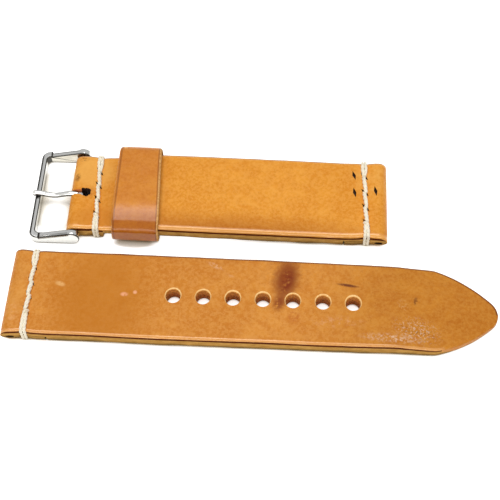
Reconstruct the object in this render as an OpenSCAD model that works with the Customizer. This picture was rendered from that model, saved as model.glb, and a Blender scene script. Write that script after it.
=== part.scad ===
// Two-piece sewn leather watch strap with a pin buckle and one free leather loop.
// Millimetres. X runs along the strap towards the tip of the tail, Y across it, Z up from the table.

/* [Leather] */
// Width across the lugs of the watch
lug_w = 24; // [22:0.5:26]
// Thickness of the leather where it is one ply
leather_t = 4.4; // [3.8:0.1:4.6]
// How far the long edges bow out between the ends of a piece
belly = 0.25; // [0:0.05:0.6]
// Radius that rounds the worn top edges
edge_r = 0.7; // [0.4:0.1:1]
// Chamfer of the raw bottom edges
under_cut = 0.3; // [0.1:0.1:0.5]
// Height of the slight crown across the top face
crown_h = 0.12; // [0:0.02:0.3]

/* [Lug ends] */
// Radius of the tunnel that takes the watch's spring bar
lug_bore_r = 1.1; // [0.9:0.05:1.3]
// Leather around a lug tunnel, pared thin for the fold
lug_ply = 1.25; // [1.1:0.05:1.5]
// Length of the folded flap at a lug end
lug_flap = 11.3; // [10:0.1:14]
// Distance from the fold to the row of stitches at a lug end
lug_row = 5.9; // [5:0.1:6.5]

/* [Tail piece] */
// Length from the lug fold to the sharp point of the tip outline
tail_len = 125.8; // [110:0.1:135]
// How much narrower the tail is where its tip curves begin
tail_taper = 0.9; // [0:0.1:2.4]
// Length of the pointed tip
tip_len = 17.5; // [15:0.1:21]
// Radius of the two curves that form the tip
tip_r = 35.8; // [32:0.1:60]
// Radius of the blunt nose
nose_r = 4.5; // [2:0.1:6]
// Thickness of the leather at the very tip, where it is pared thin
nose_t = 1.6; // [1.2:0.1:4]
// Length over which the tip is pared
pare_len = 26; // [16:1:30]
// Diameter of the punched holes
hole_d = 3.8; // [3:0.1:4]
// Number of punched holes
hole_n = 7; // [5:1:8]
// Spacing of the holes
hole_pitch = 7.55; // [6:0.01:8]
// Distance from the lug fold to the first hole
hole_first = 42.4; // [36:0.1:46]
// Width of the pressed rim around each hole
hole_rim = 0.25; // [0.1:0.05:0.4]

/* [Short piece] */
// Length from the lug fold to the buckle fold
short_len = 84.5; // [78:0.5:95]
// How much narrower the piece is at its buckle end
buckle_taper = 0.3; // [0:0.1:2]
// Leather around the buckle's bar, pared thin for the fold
bar_ply = 1.4; // [1.3:0.05:1.6]
// Length of the folded flap at the buckle end
bar_flap = 10; // [9:0.1:11]
// Distance from the buckle fold to its row of stitches
bar_row = 7.4; // [6.4:0.1:8]
// Thickness of the pared ply behind the buckle fold
pared_t = 2.2; // [2:0.1:2.6]
// Play between the tongue and the inner end of its slot
slot_play = 0.4; // [0.3:0.05:0.6]
// Play on each side of the tongue in its slot
slot_side = 0.3; // [0.15:0.05:0.5]

/* [Loop] */
// Width of the loop along the strap
loop_w = 11.4; // [8:0.1:12.5]
// Thickness of the loop's leather
loop_t = 1.2; // [1.1:0.1:1.8]
// Play on each side between loop and strap
loop_side = 0.2; // [0.15:0.05:0.5]
// Play between the loop's lower ply and the strap
loop_under = 0.3; // [0.2:0.05:0.5]
// Room left above the strap inside the loop
loop_room = 1.2; // [1:0.1:4]
// Outer corner radius of the loop
loop_r = 1.9; // [1.6:0.1:3]
// Distance from the buckle fold to the loop
loop_at = 12.3; // [12.2:0.1:14]
// Length of the lap where the loop's ends are sewn
lap_len = 7; // [5:0.5:9]

/* [Stitches] */
// Thickness of the waxed thread
thread_d = 0.85; // [0.6:0.05:1]
// Distance between two awl holes
stitch_pitch = 4.2; // [3.4:0.1:4.4]
// Number of single stitches in a row
stitch_n = 3; // [1:2:3]
// Play around the thread in the leather
thread_fit = 0.05; // [0.03:0.01:0.08]
// Share of the thread's thickness that stands proud of the top
thread_proud = 0.6; // [0.4:0.05:0.8]

/* [Buckle] */
// Distance from the bar's axis to the outer face of the front bar
frame_reach = 12.1; // [10.5:0.1:14]
// Width of the front bar
front_w = 1.6; // [1.2:0.1:2.2]
// Thickness of the two arms
arm_t = 1.7; // [1.6:0.1:2.2]
// Play between each arm and the leather
arm_gap = 0.5; // [0.35:0.05:0.7]
// Radius of the rounded ears that hold the bar
ear_r = 2.15; // [1.9:0.05:2.3]
// Distance from the bar's axis to the centre of an ear
ear_ahead = 0.6; // [0.3:0.1:0.9]
// Height of the front bar's top face above the bar's axis
front_top = 0.35; // [0.2:0.05:0.5]
// Length of the heavier front corners
corner_len = 2.8; // [2.4:0.1:3.4]
// Depth of the step behind each front corner
corner_step = 0.25; // [0.1:0.05:0.4]
// Outer radius of the front corners
frame_r = 2.4; // [1.8:0.1:3]
// Chamfer that breaks the buckle's long edges
frame_cut = 0.45; // [0.2:0.05:0.5]

/* [Tongue] */
// Thickness of the tongue's shank
tongue_d = 1.5; // [1.2:0.1:1.6]
// Width of the eye around the bar
eye_w = 1.9; // [1.6:0.1:2.4]
// Wall of the eye
eye_t = 1.2; // [1:0.05:1.25]
// Length of the tip beyond the front bar
tip_over = 0.6; // [0.4:0.1:1.4]
// Depth of the dip in the shank
tongue_dip = 0.95; // [0.6:0.05:1.05]
// Sideways place of the tongue from the strap's centre line
tongue_off = -0.4; // [-3:0.1:3]

/* [Spring bar] */
// Outer radius of the tube
tube_r = 0.9; // [0.85:0.05:1]
// Wall of the tube
tube_wall = 0.18; // [0.15:0.01:0.2]
// Radius of the end pins
pin_r = 0.5; // [0.4:0.05:0.55]
// Length of each pin inside its arm
pin_in = 1.15; // [1:0.05:1.3]
// Length of each pin's collar
collar_len = 0.5; // [0.4:0.05:0.7]
// Length of the head that slides in the tube
head_len = 1; // [0.8:0.1:1.5]
// Running play between parts of the bar that slide or turn
bar_fit = 0.05; // [0.03:0.01:0.08]
// Thickness of the coiled wire
wire_d = 0.24; // [0.2:0.01:0.28]
// Number of coils
coil_n = 20; // [12:1:24]

/* [Layout] */
// Gap between the edges of the two pieces, level with the tail's lug fold
piece_gap = 6.9; // [5:0.1:20]
// Distance from the tail's lug fold to the other piece's lug fold
short_at = 96.7; // [90:0.1:104]
// Angle at which the tail lies to the other piece
tail_turn = -0.7; // [-3:0.1:3]

/* [Hidden] */
$fn = 48;

short_tan = "#d08a34";
tail_tan = "#c47a2b";
loop_tan = "#b4682a";
cream = "#efe6cf";
steel = "#c9ccd0";
wire_steel = "#9a9da2";

// Widths that follow the lugs
buckle_end_w = lug_w - buckle_taper;
tail_w = lug_w - tail_taper;

// Least flat edge left between a rounded corner and its chamfer
least_edge = 0.02;
// Extra length of the cutting shapes, so that they pass right through
over = 1;

// Folds: each is a half round of leather about its tunnel
lug_fold_r = lug_bore_r + lug_ply;
bar_bore_r = tube_r + bar_fit;
bar_fold_r = bar_bore_r + bar_ply;
pivot_u = short_len - bar_fold_r;
pivot_z = bar_fold_r;
flap_t = leather_t / 2;
// Groove that shows where a folded flap meets the ply above it
seam_h = 0.25;
seam_in = 0.6;
flap_end_w = 0.3;

// Thread. Its rods, legs and bends differ a little in radius, as a pulled thread does
thread_r = thread_d / 2;
lay = 0.03;
leg_r = thread_r * 1.05;
wrap_r = thread_r * 0.97;
bend_r = thread_r * 1.03;
strand_dx = thread_r + lay;
strand_near = strand_dx * 0.7;
slant = thread_r * 0.7;
row_half = stitch_n * stitch_pitch / 2;
// The wraps pull the edges in at each row, and a fold spreads a little
pinch = 0.3;
pinch_len = 1.3;
swell = 0.2;
edge_seat = thread_r * 0.4 + lay;

// Loop, and the slope of the strap that lies over its lower ply
flap_clear = 0.7;
ramp_from = lug_flap + flap_clear;
bar_flap_u = short_len - bar_flap;
loop_u2 = short_len - loop_at;
loop_u1 = loop_u2 - loop_w;
loop_lift = loop_t + loop_under;
ramp_tan = loop_lift / (loop_u1 - ramp_from);
ramp_a = atan(ramp_tan);
loop_in_half = lug_w / 2 + belly + loop_side;
loop_half = loop_in_half + loop_t;
loop_in_h = loop_under + leather_t + loop_room;
// Two long stitches hold the lap
lap_r = thread_r * 0.7;
lap_half = lap_len * 0.3;
lap_places = [loop_w * 0.3, loop_w * 0.7];
lap_seam_w = 0.2;
lap_seam_z = loop_t * 0.75;

// Buckle frame
frame_in_half = buckle_end_w / 2 + arm_gap;
frame_half = frame_in_half + arm_t;
pin_bore_r = pin_r + bar_fit;
pin_floor = 0.1;
window_r = 1;
slope_from = frame_reach - corner_len;
arm_low = -ear_r;
// Where an arm's slope meets its ear, as shares of the ear's radius
slope_end = [0.4, 0.92];
arm_cut = frame_cut * 0.7;

// Tongue
eye_bore_r = tube_r + bar_fit;
eye_r = eye_bore_r + eye_t;
tongue_r = tongue_d / 2;
slot_half = eye_w / 2 + slot_side;
slot_end = eye_r + slot_play;
rest_gap = 0.05;
tongue_rest = front_top + tongue_r + rest_gap;
// The shank sinks a little at its root, and its tip swells, droops and ends blunt
root_sink = 0.05;
tip_droop = 0.25;
tip_swell = 0.12;
tip_blunt = 0.12;

// Spring bar, from the arm inwards
end_play = 0.1;
collar_out = frame_in_half - end_play;
collar_in = collar_out - collar_len;
collar_r = tube_r - end_play;
pin_out = frame_in_half + pin_in;
pin_travel = pin_in + bar_fit;
pin_point = 0.2;
pin_taper = 0.15;
tube_half = collar_in - pin_travel - end_play;
tube_in_r = tube_r - tube_wall;
lip_r = pin_r + bar_fit;
lip_len = 0.3;
head_out = tube_half - lip_len - bar_fit;
head_in = head_out - head_len;
coil_r = tube_in_r - bar_fit - wire_d / 2;
coil_half = head_in - bar_fit;

// Tip outline: two arcs of tip_r that meet at the sharp point
shoulder_x = tail_len - tip_len;
tip_half = tail_w / 2;
tip_chord = norm([tip_len, tip_half]);
tip_sag = sqrt(tip_r * tip_r - tip_chord * tip_chord / 4);
tip_cx = shoulder_x + tip_len / 2 - tip_sag * tip_half / tip_chord;
tip_cy = tip_half / 2 - tip_sag * tip_len / tip_chord;
nose_x = tip_cx + sqrt(pow(tip_r - nose_r, 2) - tip_cy * tip_cy);
nose_join = tip_cx + (nose_x - tip_cx) * tip_r / (tip_r - nose_r);
tail_end = nose_x + nose_r;
pare_x = tail_end - pare_len;

// Shared functions
function mix(a, b, t) = a + (b - a) * t;
function ease(t) = let (s = max(0, min(1, t))) s * s * (3 - 2 * s);
function spread(a, b, n) = [for (i = [0 : n - 1]) mix(a, b, i / n)];
function round_in(d, r) = d < r ? sqrt(max(0, r * r - pow(r - d, 2))) : r;
function draw_in(x, row) = pinch * exp(-pow((x - row) / pinch_len, 2));
function bow(x, long) = belly * sin(180 * min(1, x / long));

// One cross section of the leather: flat below, rounded top edges, slight crown
function section(x, half, low, high) =
    let (
        r = min(edge_r, (high - low) / 2 - least_edge, half / 2),
        c = min(under_cut, (high - low) / 5),
        up = min(crown_h, (high - low) / 8)
    )
    concat(
        [[x, -half + c, low], [x, half - c, low], [x, half, low + c]],
        [for (a = [0 : 30 : 90]) [x, half - r + r * cos(a), high - r + r * sin(a)]],
        [for (k = [0.5, 0, -0.5]) [x, k * half, high + up * (1 - k * k)]],
        [for (a = [90 : 30 : 180]) [x, -half + r + r * cos(a), high - r + r * sin(a)]],
        [[x, -half, low + c]]
    );

// Solid through a list of cross sections
module loft(rings) {
    n = len(rings[0]);
    m = len(rings);
    walls = [for (i = [0 : m - 2], j = [0 : n - 1])
        let (a = i * n + j, b = i * n + (j + 1) % n)
        [a, b, b + n, a + n]];
    triangles = [for (f = walls) each [[f[0], f[2], f[1]], [f[0], f[3], f[2]]]];
    first = [[for (j = [0 : n - 1]) j]];
    last = [[for (j = [0 : n - 1]) (m - 1) * n + n - 1 - j]];
    polyhedron(points = [for (r = rings) each r], faces = concat(first, triangles, last), convexity = 8);
}

// Tail piece, x from the lug fold
function tail_arc(x) = x < nose_join
    ? tip_cy + sqrt(max(0, tip_r * tip_r - pow(x - tip_cx, 2)))
    : sqrt(max(0, nose_r * nose_r - pow(x - nose_x, 2)));
function tail_half(x) = x < shoulder_x
    ? mix(lug_w / 2, tip_half, x / shoulder_x) + bow(x, shoulder_x)
        + swell * (1 - ease(x / lug_row)) - draw_in(x, lug_row)
    : tail_arc(x);
function tail_low(x) = lug_fold_r - round_in(x, lug_fold_r);
function tail_high(x) = x < lug_fold_r
    ? lug_fold_r + round_in(x, lug_fold_r)
    : mix(2 * lug_fold_r, leather_t, ease((x - lug_fold_r) / (lug_flap - lug_fold_r)))
        - (leather_t - nose_t) * max(0, x - pare_x) / pare_len;
tail_xs = concat(
    [for (a = [8 : 10 : 88]) lug_fold_r * (1 - cos(a))],
    spread(lug_fold_r, lug_flap, 14),
    spread(lug_flap, pare_x, 5),
    spread(pare_x, shoulder_x, 3),
    spread(shoulder_x, nose_join, 12),
    [for (a = [0 : 0.1 : 0.96]) nose_join + (tail_end - nose_join) * sin(90 * a)]
);

// Layout: the origin is under the centre of the box round both pieces
function turned(p) = [
    p.x * cos(tail_turn) - p.y * sin(tail_turn),
    p.x * sin(tail_turn) + p.y * cos(tail_turn)
];
tail_outline = [for (x = tail_xs, s = [-1, 1]) turned([x, s * tail_half(x)])];
row_gap = lug_w + piece_gap;
tail_x = -(min([for (p = tail_outline) p.x]) + max([for (p = tail_outline) p.x])) / 2;
tail_y = -(min([for (p = tail_outline) p.y]) + row_gap + frame_half) / 2;
short_x = tail_x + short_at;
short_y = tail_y + row_gap;

// Short piece, u from the lug fold towards the buckle
function ramp(u) = max(0, u - ramp_from) * ramp_tan;
function short_half(u) = mix(lug_w / 2, buckle_end_w / 2, u / short_len) + bow(u, short_len)
    + swell * (1 - ease(u / lug_row)) - draw_in(u, lug_row) - draw_in(u, short_len - bar_row);
function short_low(u) =
    u < lug_fold_r ? lug_fold_r - round_in(u, lug_fold_r)
    : u < bar_flap_u ? ramp(u)
    : bar_fold_r - round_in(short_len - u, bar_fold_r);
pared_top = ramp(bar_flap_u) + pared_t;
function short_high(u) =
    u < lug_fold_r ? lug_fold_r + round_in(u, lug_fold_r)
    : u < loop_u1
        ? ramp(u) + mix(2 * lug_fold_r, leather_t, ease((u - lug_fold_r) / (lug_flap - lug_fold_r)))
    : u < bar_flap_u
        ? mix(ramp(loop_u1) + leather_t, pared_top, ease((u - loop_u1) / (bar_flap_u - loop_u1)))
    : u < pivot_u
        ? mix(pared_top, 2 * bar_fold_r, ease((u - bar_flap_u) / (pivot_u - bar_flap_u)))
        : bar_fold_r + round_in(short_len - u, bar_fold_r);
short_us = concat(
    [for (a = [8 : 10 : 88]) lug_fold_r * (1 - cos(a))],
    spread(lug_fold_r, ramp_from, 14),
    spread(ramp_from, loop_u1, 4),
    spread(loop_u1, bar_flap_u - least_edge, 8),
    [bar_flap_u - least_edge],
    spread(bar_flap_u, pivot_u, 12),
    [for (a = [0 : 9 : 81]) pivot_u + bar_fold_r * sin(a)]
);

// A straight rod between two points
module rod(a, b, r) {
    d = b - a;
    flat = norm([d.x, d.y]);
    translate(a) rotate([0, atan2(flat, d.z), atan2(d.y, d.x)]) cylinder(r = r, h = norm(d), $fn = 24);
}

// One sewn row: single stitches between the awl holes, and two strands wrapped round each edge.
// The row lies across x = 0, with its leather from z = low to z = high.
module sewn_row(side, low, high, grow) {
    r = thread_r + grow;
    top = high + crown_h + (thread_proud - 0.5) * thread_d;
    bottom = low + thread_r + lay;
    for (i = [0 : stitch_n - 1]) {
        y1 = -row_half + i * stitch_pitch;
        y2 = y1 + stitch_pitch;
        rod([-slant, y1, top], [slant, y2, top], r);
        rod([-slant, y1, bottom], [slant, y2, bottom], r);
    }
    for (i = [0 : stitch_n])
        translate([0, -row_half + i * stitch_pitch, bottom])
            cylinder(r = leg_r + grow, h = top - bottom, $fn = 24);
    for (s = [-1, 1], k = [-1, 1]) {
        near = k * strand_near;
        wide = k * strand_dx;
        rod([near, s * row_half, top], [wide, s * side, top], r);
        rod([near, s * row_half, bottom], [wide, s * side, bottom], r);
        rod([wide, s * side, bottom], [wide, s * side, top], wrap_r + grow);
        for (z = [bottom, top])
            translate([wide, s * side, z]) sphere(r = bend_r + grow, $fn = 24);
    }
}

module at_lug_row(grow = 0) {
    translate([lug_row, 0, 0])
        sewn_row(tail_half(lug_row) + edge_seat, 0, tail_high(lug_row), grow);
}

module at_bar_row(grow = 0) {
    u = short_len - bar_row;
    translate([u, 0, 0]) sewn_row(short_half(u) + edge_seat, 0, short_high(u), grow);
}

// Tunnel across the leather for a bar
module tunnel(x, z, r) {
    translate([x, lug_w, z]) rotate([90, 0, 0]) cylinder(r = r, h = 2 * lug_w);
}

// The line where the folded flap meets the ply above it, and the flap's free end
module lug_seams() {
    for (s = [-1, 1])
        translate([lug_fold_r * 2, s * lug_w / 2 - seam_in, flap_t - seam_h])
            cube([lug_flap - lug_fold_r * 2, 2 * seam_in, seam_h]);
    translate([lug_flap, -lug_w, -over]) cube([flap_end_w, 2 * lug_w, over + flap_t]);
}

module tail_leather() {
    difference() {
        loft([for (x = tail_xs) section(x, tail_half(x), tail_low(x), tail_high(x))]);
        tunnel(lug_fold_r, lug_fold_r, lug_bore_r);
        for (i = [0 : hole_n - 1]) translate([hole_first + i * hole_pitch, 0, 0]) punched_hole();
        lug_seams();
        at_lug_row(thread_fit);
    }
}

module punched_hole() {
    translate([0, 0, -over]) cylinder(d = hole_d, h = leather_t + 2 * over);
    translate([0, 0, leather_t + crown_h - hole_rim])
        cylinder(r1 = hole_d / 2, r2 = hole_d / 2 + 2 * hole_rim, h = 2 * hole_rim);
}

module short_leather() {
    difference() {
        loft([for (u = short_us) section(u, short_half(u), short_low(u), short_high(u))]);
        tunnel(lug_fold_r, lug_fold_r, lug_bore_r);
        tunnel(pivot_u, pivot_z, bar_bore_r);
        tongue_slot();
        lug_seams();
        at_lug_row(thread_fit);
        at_bar_row(thread_fit);
    }
}

// Slot for the tongue: open at the fold, round at its inner end
module tongue_slot() {
    reach = slot_end - slot_half;
    translate([pivot_u - reach, tongue_off, -over]) {
        cylinder(r = slot_half, h = 2 * leather_t);
        translate([0, -slot_half, 0]) cube([short_len, 2 * slot_half, 2 * leather_t]);
    }
}

// The short piece and all it carries lie with their lug end towards +X
module on_short() {
    translate([short_x, short_y, 0]) mirror([1, 0, 0]) children();
}

module on_tail() {
    translate([tail_x, tail_y, 0]) rotate([0, 0, tail_turn]) children();
}

// Rounded rectangle, centred on y, from z = 0
module soft_box(half, height, r) {
    translate([-half + r, 0]) square([2 * (half - r), height]);
    translate([-half, r]) square([2 * half, height - 2 * r]);
    for (y = [-half + r, half - r], z = [r, height - r]) translate([y, z]) circle(r = r);
}

// Loop standing on the table, tilted with the strap that it is on
module on_loop() {
    on_short() translate([loop_u1, 0, 0]) rotate([0, -ramp_a, 0]) children();
}

module loop_leather() {
    full_h = loop_in_h + 2 * loop_t;
    difference() {
        rotate([90, 0, 90]) linear_extrude(height = loop_w) difference() {
            soft_box(loop_half, full_h, loop_r);
            translate([0, loop_t]) soft_box(loop_in_half, loop_in_h, loop_r - loop_t);
        }
        lap_seam();
        lap_stitches(thread_fit);
    }
}

// End of the upper layer of the lap, seen inside the loop
module lap_seam() {
    for (s = [-1, 1])
        translate([-over, s * lap_len / 2, lap_seam_z]) cube([loop_w + 2 * over, lap_seam_w, loop_t]);
}

// The lap's stitches are sunk in the leather above and below
module lap_stitches(grow = 0) {
    r = lap_r + grow;
    low = lap_r + lay;
    high = loop_t - low;
    for (x = lap_places) {
        rod([x, -lap_half, low], [x, lap_half, low], r);
        rod([x, -lap_half, high], [x, lap_half, high], r);
        for (y = [-lap_half, lap_half])
            translate([x, y, low]) cylinder(r = r * 1.05, h = high - low, $fn = 24);
    }
}

// Buckle, p measured from the bar's axis towards the front bar, z from the axis
module on_bar() {
    on_short() translate([pivot_u, 0, pivot_z]) children();
}

module frame_side() {
    translate([ear_ahead, 0]) circle(r = ear_r);
    polygon([
        [ear_ahead, arm_low],
        [frame_reach - frame_cut, arm_low],
        [frame_reach, arm_low + frame_cut],
        [frame_reach, front_top - frame_cut],
        [frame_reach - frame_cut, front_top],
        [slope_from, front_top],
        [slope_from, front_top - corner_step],
        [ear_ahead + ear_r * slope_end.x, ear_r * slope_end.y],
        [ear_ahead, ear_r]
    ]);
}

module frame_plan() {
    back = ear_ahead - ear_r - over;
    difference() {
        union() {
            translate([back, -frame_half]) square([frame_reach - frame_r - back, 2 * frame_half]);
            translate([back, -frame_half + frame_r])
                square([frame_reach - back, 2 * (frame_half - frame_r)]);
            for (s = [-1, 1])
                translate([frame_reach - frame_r, s * (frame_half - frame_r)]) circle(r = frame_r);
        }
        window = frame_reach - front_w;
        translate([back - over, -frame_in_half])
            square([window - window_r - back + over, 2 * frame_in_half]);
        translate([back - over, -frame_in_half + window_r])
            square([window - back + over, 2 * (frame_in_half - window_r)]);
        for (s = [-1, 1])
            translate([window - window_r, s * (frame_in_half - window_r)]) circle(r = window_r);
    }
}

// Chamfer along the top outer edge of an arm, from its step to its ear
module arm_bevel(s) {
    rise = ear_r * slope_end.y - front_top + corner_step;
    run = slope_from - ear_ahead - ear_r * slope_end.x;
    long = norm([rise, run]);
    translate([slope_from, s * frame_half, front_top - corner_step])
        rotate([0, -180 + atan2(rise, run), 0])
            rotate([45, 0, 0]) translate([0, -arm_cut, -arm_cut])
                cube([long, 2 * arm_cut, 2 * arm_cut]);
}

module frame_metal() {
    difference() {
        intersection() {
            translate([0, 0, -ear_r - over]) linear_extrude(height = 2 * (ear_r + over)) frame_plan();
            translate([0, frame_half + over, 0]) rotate([90, 0, 0])
                linear_extrude(height = 2 * (frame_half + over)) frame_side();
        }
        for (s = [-1, 1]) {
            arm_bevel(s);
            translate([0, s * (frame_in_half - over), 0]) rotate([-90 * s, 0, 0])
                cylinder(r = pin_bore_r, h = over + pin_in + pin_floor);
        }
    }
}

// Tongue: a bent round shank whose root is curled round the bar
eye_mid = eye_bore_r + eye_t / 2;
tip_at = frame_reach + tip_over;
front_at = frame_reach - front_w / 2;
function shank_z(p) =
    p < bar_fold_r ? mix(eye_mid, eye_mid - root_sink, p / bar_fold_r)
    : p < front_at
        ? mix(eye_mid - root_sink, tongue_rest, (p - bar_fold_r) / (front_at - bar_fold_r))
            - tongue_dip * (1 - cos(360 * (p - bar_fold_r) / (front_at - bar_fold_r))) / 2
        : tongue_rest - tip_droop * pow((p - front_at) / (tip_at - front_at), 2);
function shank_r(p) =
    p < bar_fold_r ? mix(eye_t / 2, tongue_r, ease(p / bar_fold_r))
    : p < front_at ? tongue_r
    : tongue_r * (1 + tip_swell * sin(180 * min(1, (p - front_at) / (tip_at - front_at))))
        * sqrt(max(tip_blunt, 1 - pow((p - front_at) / (tip_at - front_at), 4)));
shank_ps = concat(
    spread(0, bar_fold_r, 3),
    spread(bar_fold_r, front_at, 12),
    [for (a = [0 : 0.125 : 1]) mix(front_at, tip_at, sin(90 * a))]
);

module tongue_metal() {
    translate([0, tongue_off, 0]) {
        difference() {
            union() {
                rotate([90, 0, 0]) cylinder(r = eye_r, h = eye_w, center = true);
                loft([for (p = shank_ps)
                    [for (a = [0 : 30 : 330])
                        [p, shank_r(p) * cos(a), shank_z(p) + shank_r(p) * sin(a)]]]);
            }
            rotate([90, 0, 0]) cylinder(r = eye_bore_r, h = eye_w + 2 * over, center = true);
        }
    }
}

// Spring bar, turned parts about the bar's axis
module along_bar() {
    on_bar() rotate([-90, 0, 0]) children();
}

module tube_metal() {
    rotate_extrude() polygon([
        [lip_r, -tube_half], [tube_r, -tube_half], [tube_r, tube_half], [lip_r, tube_half],
        [lip_r, tube_half - lip_len], [tube_in_r, tube_half - lip_len],
        [tube_in_r, -tube_half + lip_len], [lip_r, -tube_half + lip_len]
    ]);
}

module pin_metal() {
    head_r = tube_in_r - bar_fit;
    rotate_extrude() polygon([
        [0, head_in], [head_r, head_in], [head_r, head_out], [pin_r, head_out],
        [pin_r, collar_in], [collar_r, collar_in], [collar_r, collar_out], [pin_r, collar_out],
        [pin_r, pin_out - pin_point], [pin_r - pin_taper, pin_out], [0, pin_out]
    ]);
}

// Coil of round wire between the two heads
module coil_metal() {
    steps = 8;
    sides = 6;
    turns = coil_n * steps;
    rise = 2 * (coil_half - wire_d / 2);
    rings = [for (i = [0 : turns])
        let (
            a = 360 * i / steps,
            z = -coil_half + wire_d / 2 + rise * i / turns,
            tilt = atan(rise / coil_n / (2 * PI * coil_r))
        )
        [for (j = [0 : sides - 1])
            let (b = -360 * j / sides, out = wire_d / 2 * cos(b), up = wire_d / 2 * sin(b))
            [
                (coil_r + out) * cos(a) + up * sin(tilt) * sin(a),
                (coil_r + out) * sin(a) - up * sin(tilt) * cos(a),
                z + up * cos(tilt)
            ]]];
    loft(rings);
}

module short_strap() { color(short_tan) on_short() short_leather(); }
module tail_strap() { color(tail_tan) on_tail() tail_leather(); }
module keeper_loop() { color(loop_tan) on_loop() loop_leather(); }
module keeper_thread() { color(cream) on_loop() lap_stitches(); }
module buckle_row_thread() { color(cream) on_short() at_bar_row(); }
module short_lug_thread() { color(cream) on_short() at_lug_row(); }
module tail_lug_thread() { color(cream) on_tail() at_lug_row(); }
module buckle_frame() { color(steel) on_bar() frame_metal(); }
module buckle_tongue() { color(steel) on_bar() tongue_metal(); }
module bar_tube() { color(wire_steel) along_bar() tube_metal(); }
module bar_spring() { color(wire_steel) along_bar() coil_metal(); }
module bar_tip_far() { color(steel) along_bar() pin_metal(); }
module bar_tip_near() { color(steel) along_bar() mirror([0, 0, 1]) pin_metal(); }

short_strap();
tail_strap();
keeper_loop();
keeper_thread();
buckle_row_thread();
short_lug_thread();
tail_lug_thread();
buckle_frame();
buckle_tongue();
bar_tube();
bar_spring();
bar_tip_far();
bar_tip_near();
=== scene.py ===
import bpy
import bmesh
import math
from mathutils.bvhtree import BVHTree
from mathutils import Matrix, Vector, noise
from mathutils.geometry import intersect_point_line


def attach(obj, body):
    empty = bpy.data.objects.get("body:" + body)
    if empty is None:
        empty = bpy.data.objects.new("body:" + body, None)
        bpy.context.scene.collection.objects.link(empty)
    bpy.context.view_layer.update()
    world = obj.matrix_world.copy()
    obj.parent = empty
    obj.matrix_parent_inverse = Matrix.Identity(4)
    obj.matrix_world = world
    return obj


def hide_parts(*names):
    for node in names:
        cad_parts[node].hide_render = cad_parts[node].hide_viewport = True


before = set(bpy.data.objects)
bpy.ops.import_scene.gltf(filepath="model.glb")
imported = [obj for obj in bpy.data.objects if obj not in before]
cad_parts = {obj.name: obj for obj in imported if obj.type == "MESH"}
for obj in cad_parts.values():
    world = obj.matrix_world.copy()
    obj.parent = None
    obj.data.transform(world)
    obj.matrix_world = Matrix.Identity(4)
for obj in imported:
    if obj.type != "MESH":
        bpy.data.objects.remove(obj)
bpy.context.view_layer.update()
print("frame loaded with", len(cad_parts), "nodes")

# Dictionaries are in millimetres and degrees unless they say metres. Pieces are modelled in millimetres and
# shrunk to metres when they are put in their place.
layout = {
    "tailStart": (-61.998, -16.039, 0.0),       # lug fold of the tail
    "tailTurn": -0.7,                           # the tail lies a little askew
    "shortStart": (34.702, 14.861, 0.0),        # lug fold of the buckle piece
    "slope": 1.7606,                            # tilt of the buckle piece over its loop
    "bow": 0.25,                                # how far the long edges bow out
}
millimetre = Matrix.Scale(0.001, 4)
onTail = (Matrix.Translation(Vector(layout["tailStart"]) * 0.001)
          @ Matrix.Rotation(math.radians(layout["tailTurn"]), 4, "Z"))
onShort = Matrix.Translation(Vector(layout["shortStart"]) * 0.001) @ Matrix.Scale(-1, 4, (1, 0, 0))


# Small helpers, named for what the hand does.

def mix(a, b, t):
    return a + (b - a) * t


def ease(t):
    t = min(1, max(0, t))
    return t * t * (3 - 2 * t)


def roundIn(depth, radius):
    return math.sqrt(max(0, radius ** 2 - (radius - depth) ** 2)) if depth < radius else radius


def spread(a, b, count):
    return [mix(a, b, i / count) for i in range(count)]


def bump(distance, width):
    return math.exp(-(distance / width) ** 2)


def takeUp(name):
    # the primitive that was just added becomes a piece
    piece = bpy.context.active_object
    piece.name = name
    piece.data.name = name
    return piece


def workOn(piece):
    if bpy.context.mode != "OBJECT":
        leave()
    bpy.ops.object.select_all(action="DESELECT")
    piece.select_set(True)
    bpy.context.view_layer.objects.active = piece


def edit():
    bpy.ops.object.mode_set(mode="EDIT")


def leave():
    bpy.ops.object.mode_set(mode="OBJECT")


def selectAll():
    bpy.ops.mesh.select_all(action="SELECT")


def faceOutward():
    selectAll()
    bpy.ops.mesh.normals_make_consistent(inside=False)


def drawOut(x, y, z):
    bpy.ops.mesh.extrude_region_move(TRANSFORM_OT_translate={"value": (x, y, z)})


def resize(x, y, z, centre):
    bpy.ops.transform.resize(value=(x, y, z), center_override=centre)


def addSlots(piece, *materials):
    for material in materials:
        piece.data.materials.append(material)


def paintFaces(piece, slot, test):
    pick(piece, test, "FACE")
    piece.active_material_index = slot
    bpy.ops.object.material_slot_assign()


def pick(piece, test, kind="VERT"):
    # edit mode: selects points, edges or faces by their place
    bpy.ops.mesh.select_mode(type=kind)
    bpy.ops.mesh.select_all(action="DESELECT")
    mesh = bmesh.from_edit_mesh(piece.data)
    if kind == "VERT":
        for v in mesh.verts:
            v.select = test(v.co)
    elif kind == "EDGE":
        for e in mesh.edges:
            e.select = test((e.verts[0].co + e.verts[1].co) / 2, e.verts[1].co - e.verts[0].co)
    else:
        for f in mesh.faces:
            f.select = test(f.calc_center_median(), f.normal)
    mesh.select_flush_mode()
    bmesh.update_edit_mesh(piece.data)


def useModifier(piece, kind, **settings):
    workOn(piece)
    modifier = piece.modifiers.new(kind.title(), kind)
    for key, value in settings.items():
        setattr(modifier, key, value)
    bpy.ops.object.modifier_apply(modifier=modifier.name)


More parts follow.
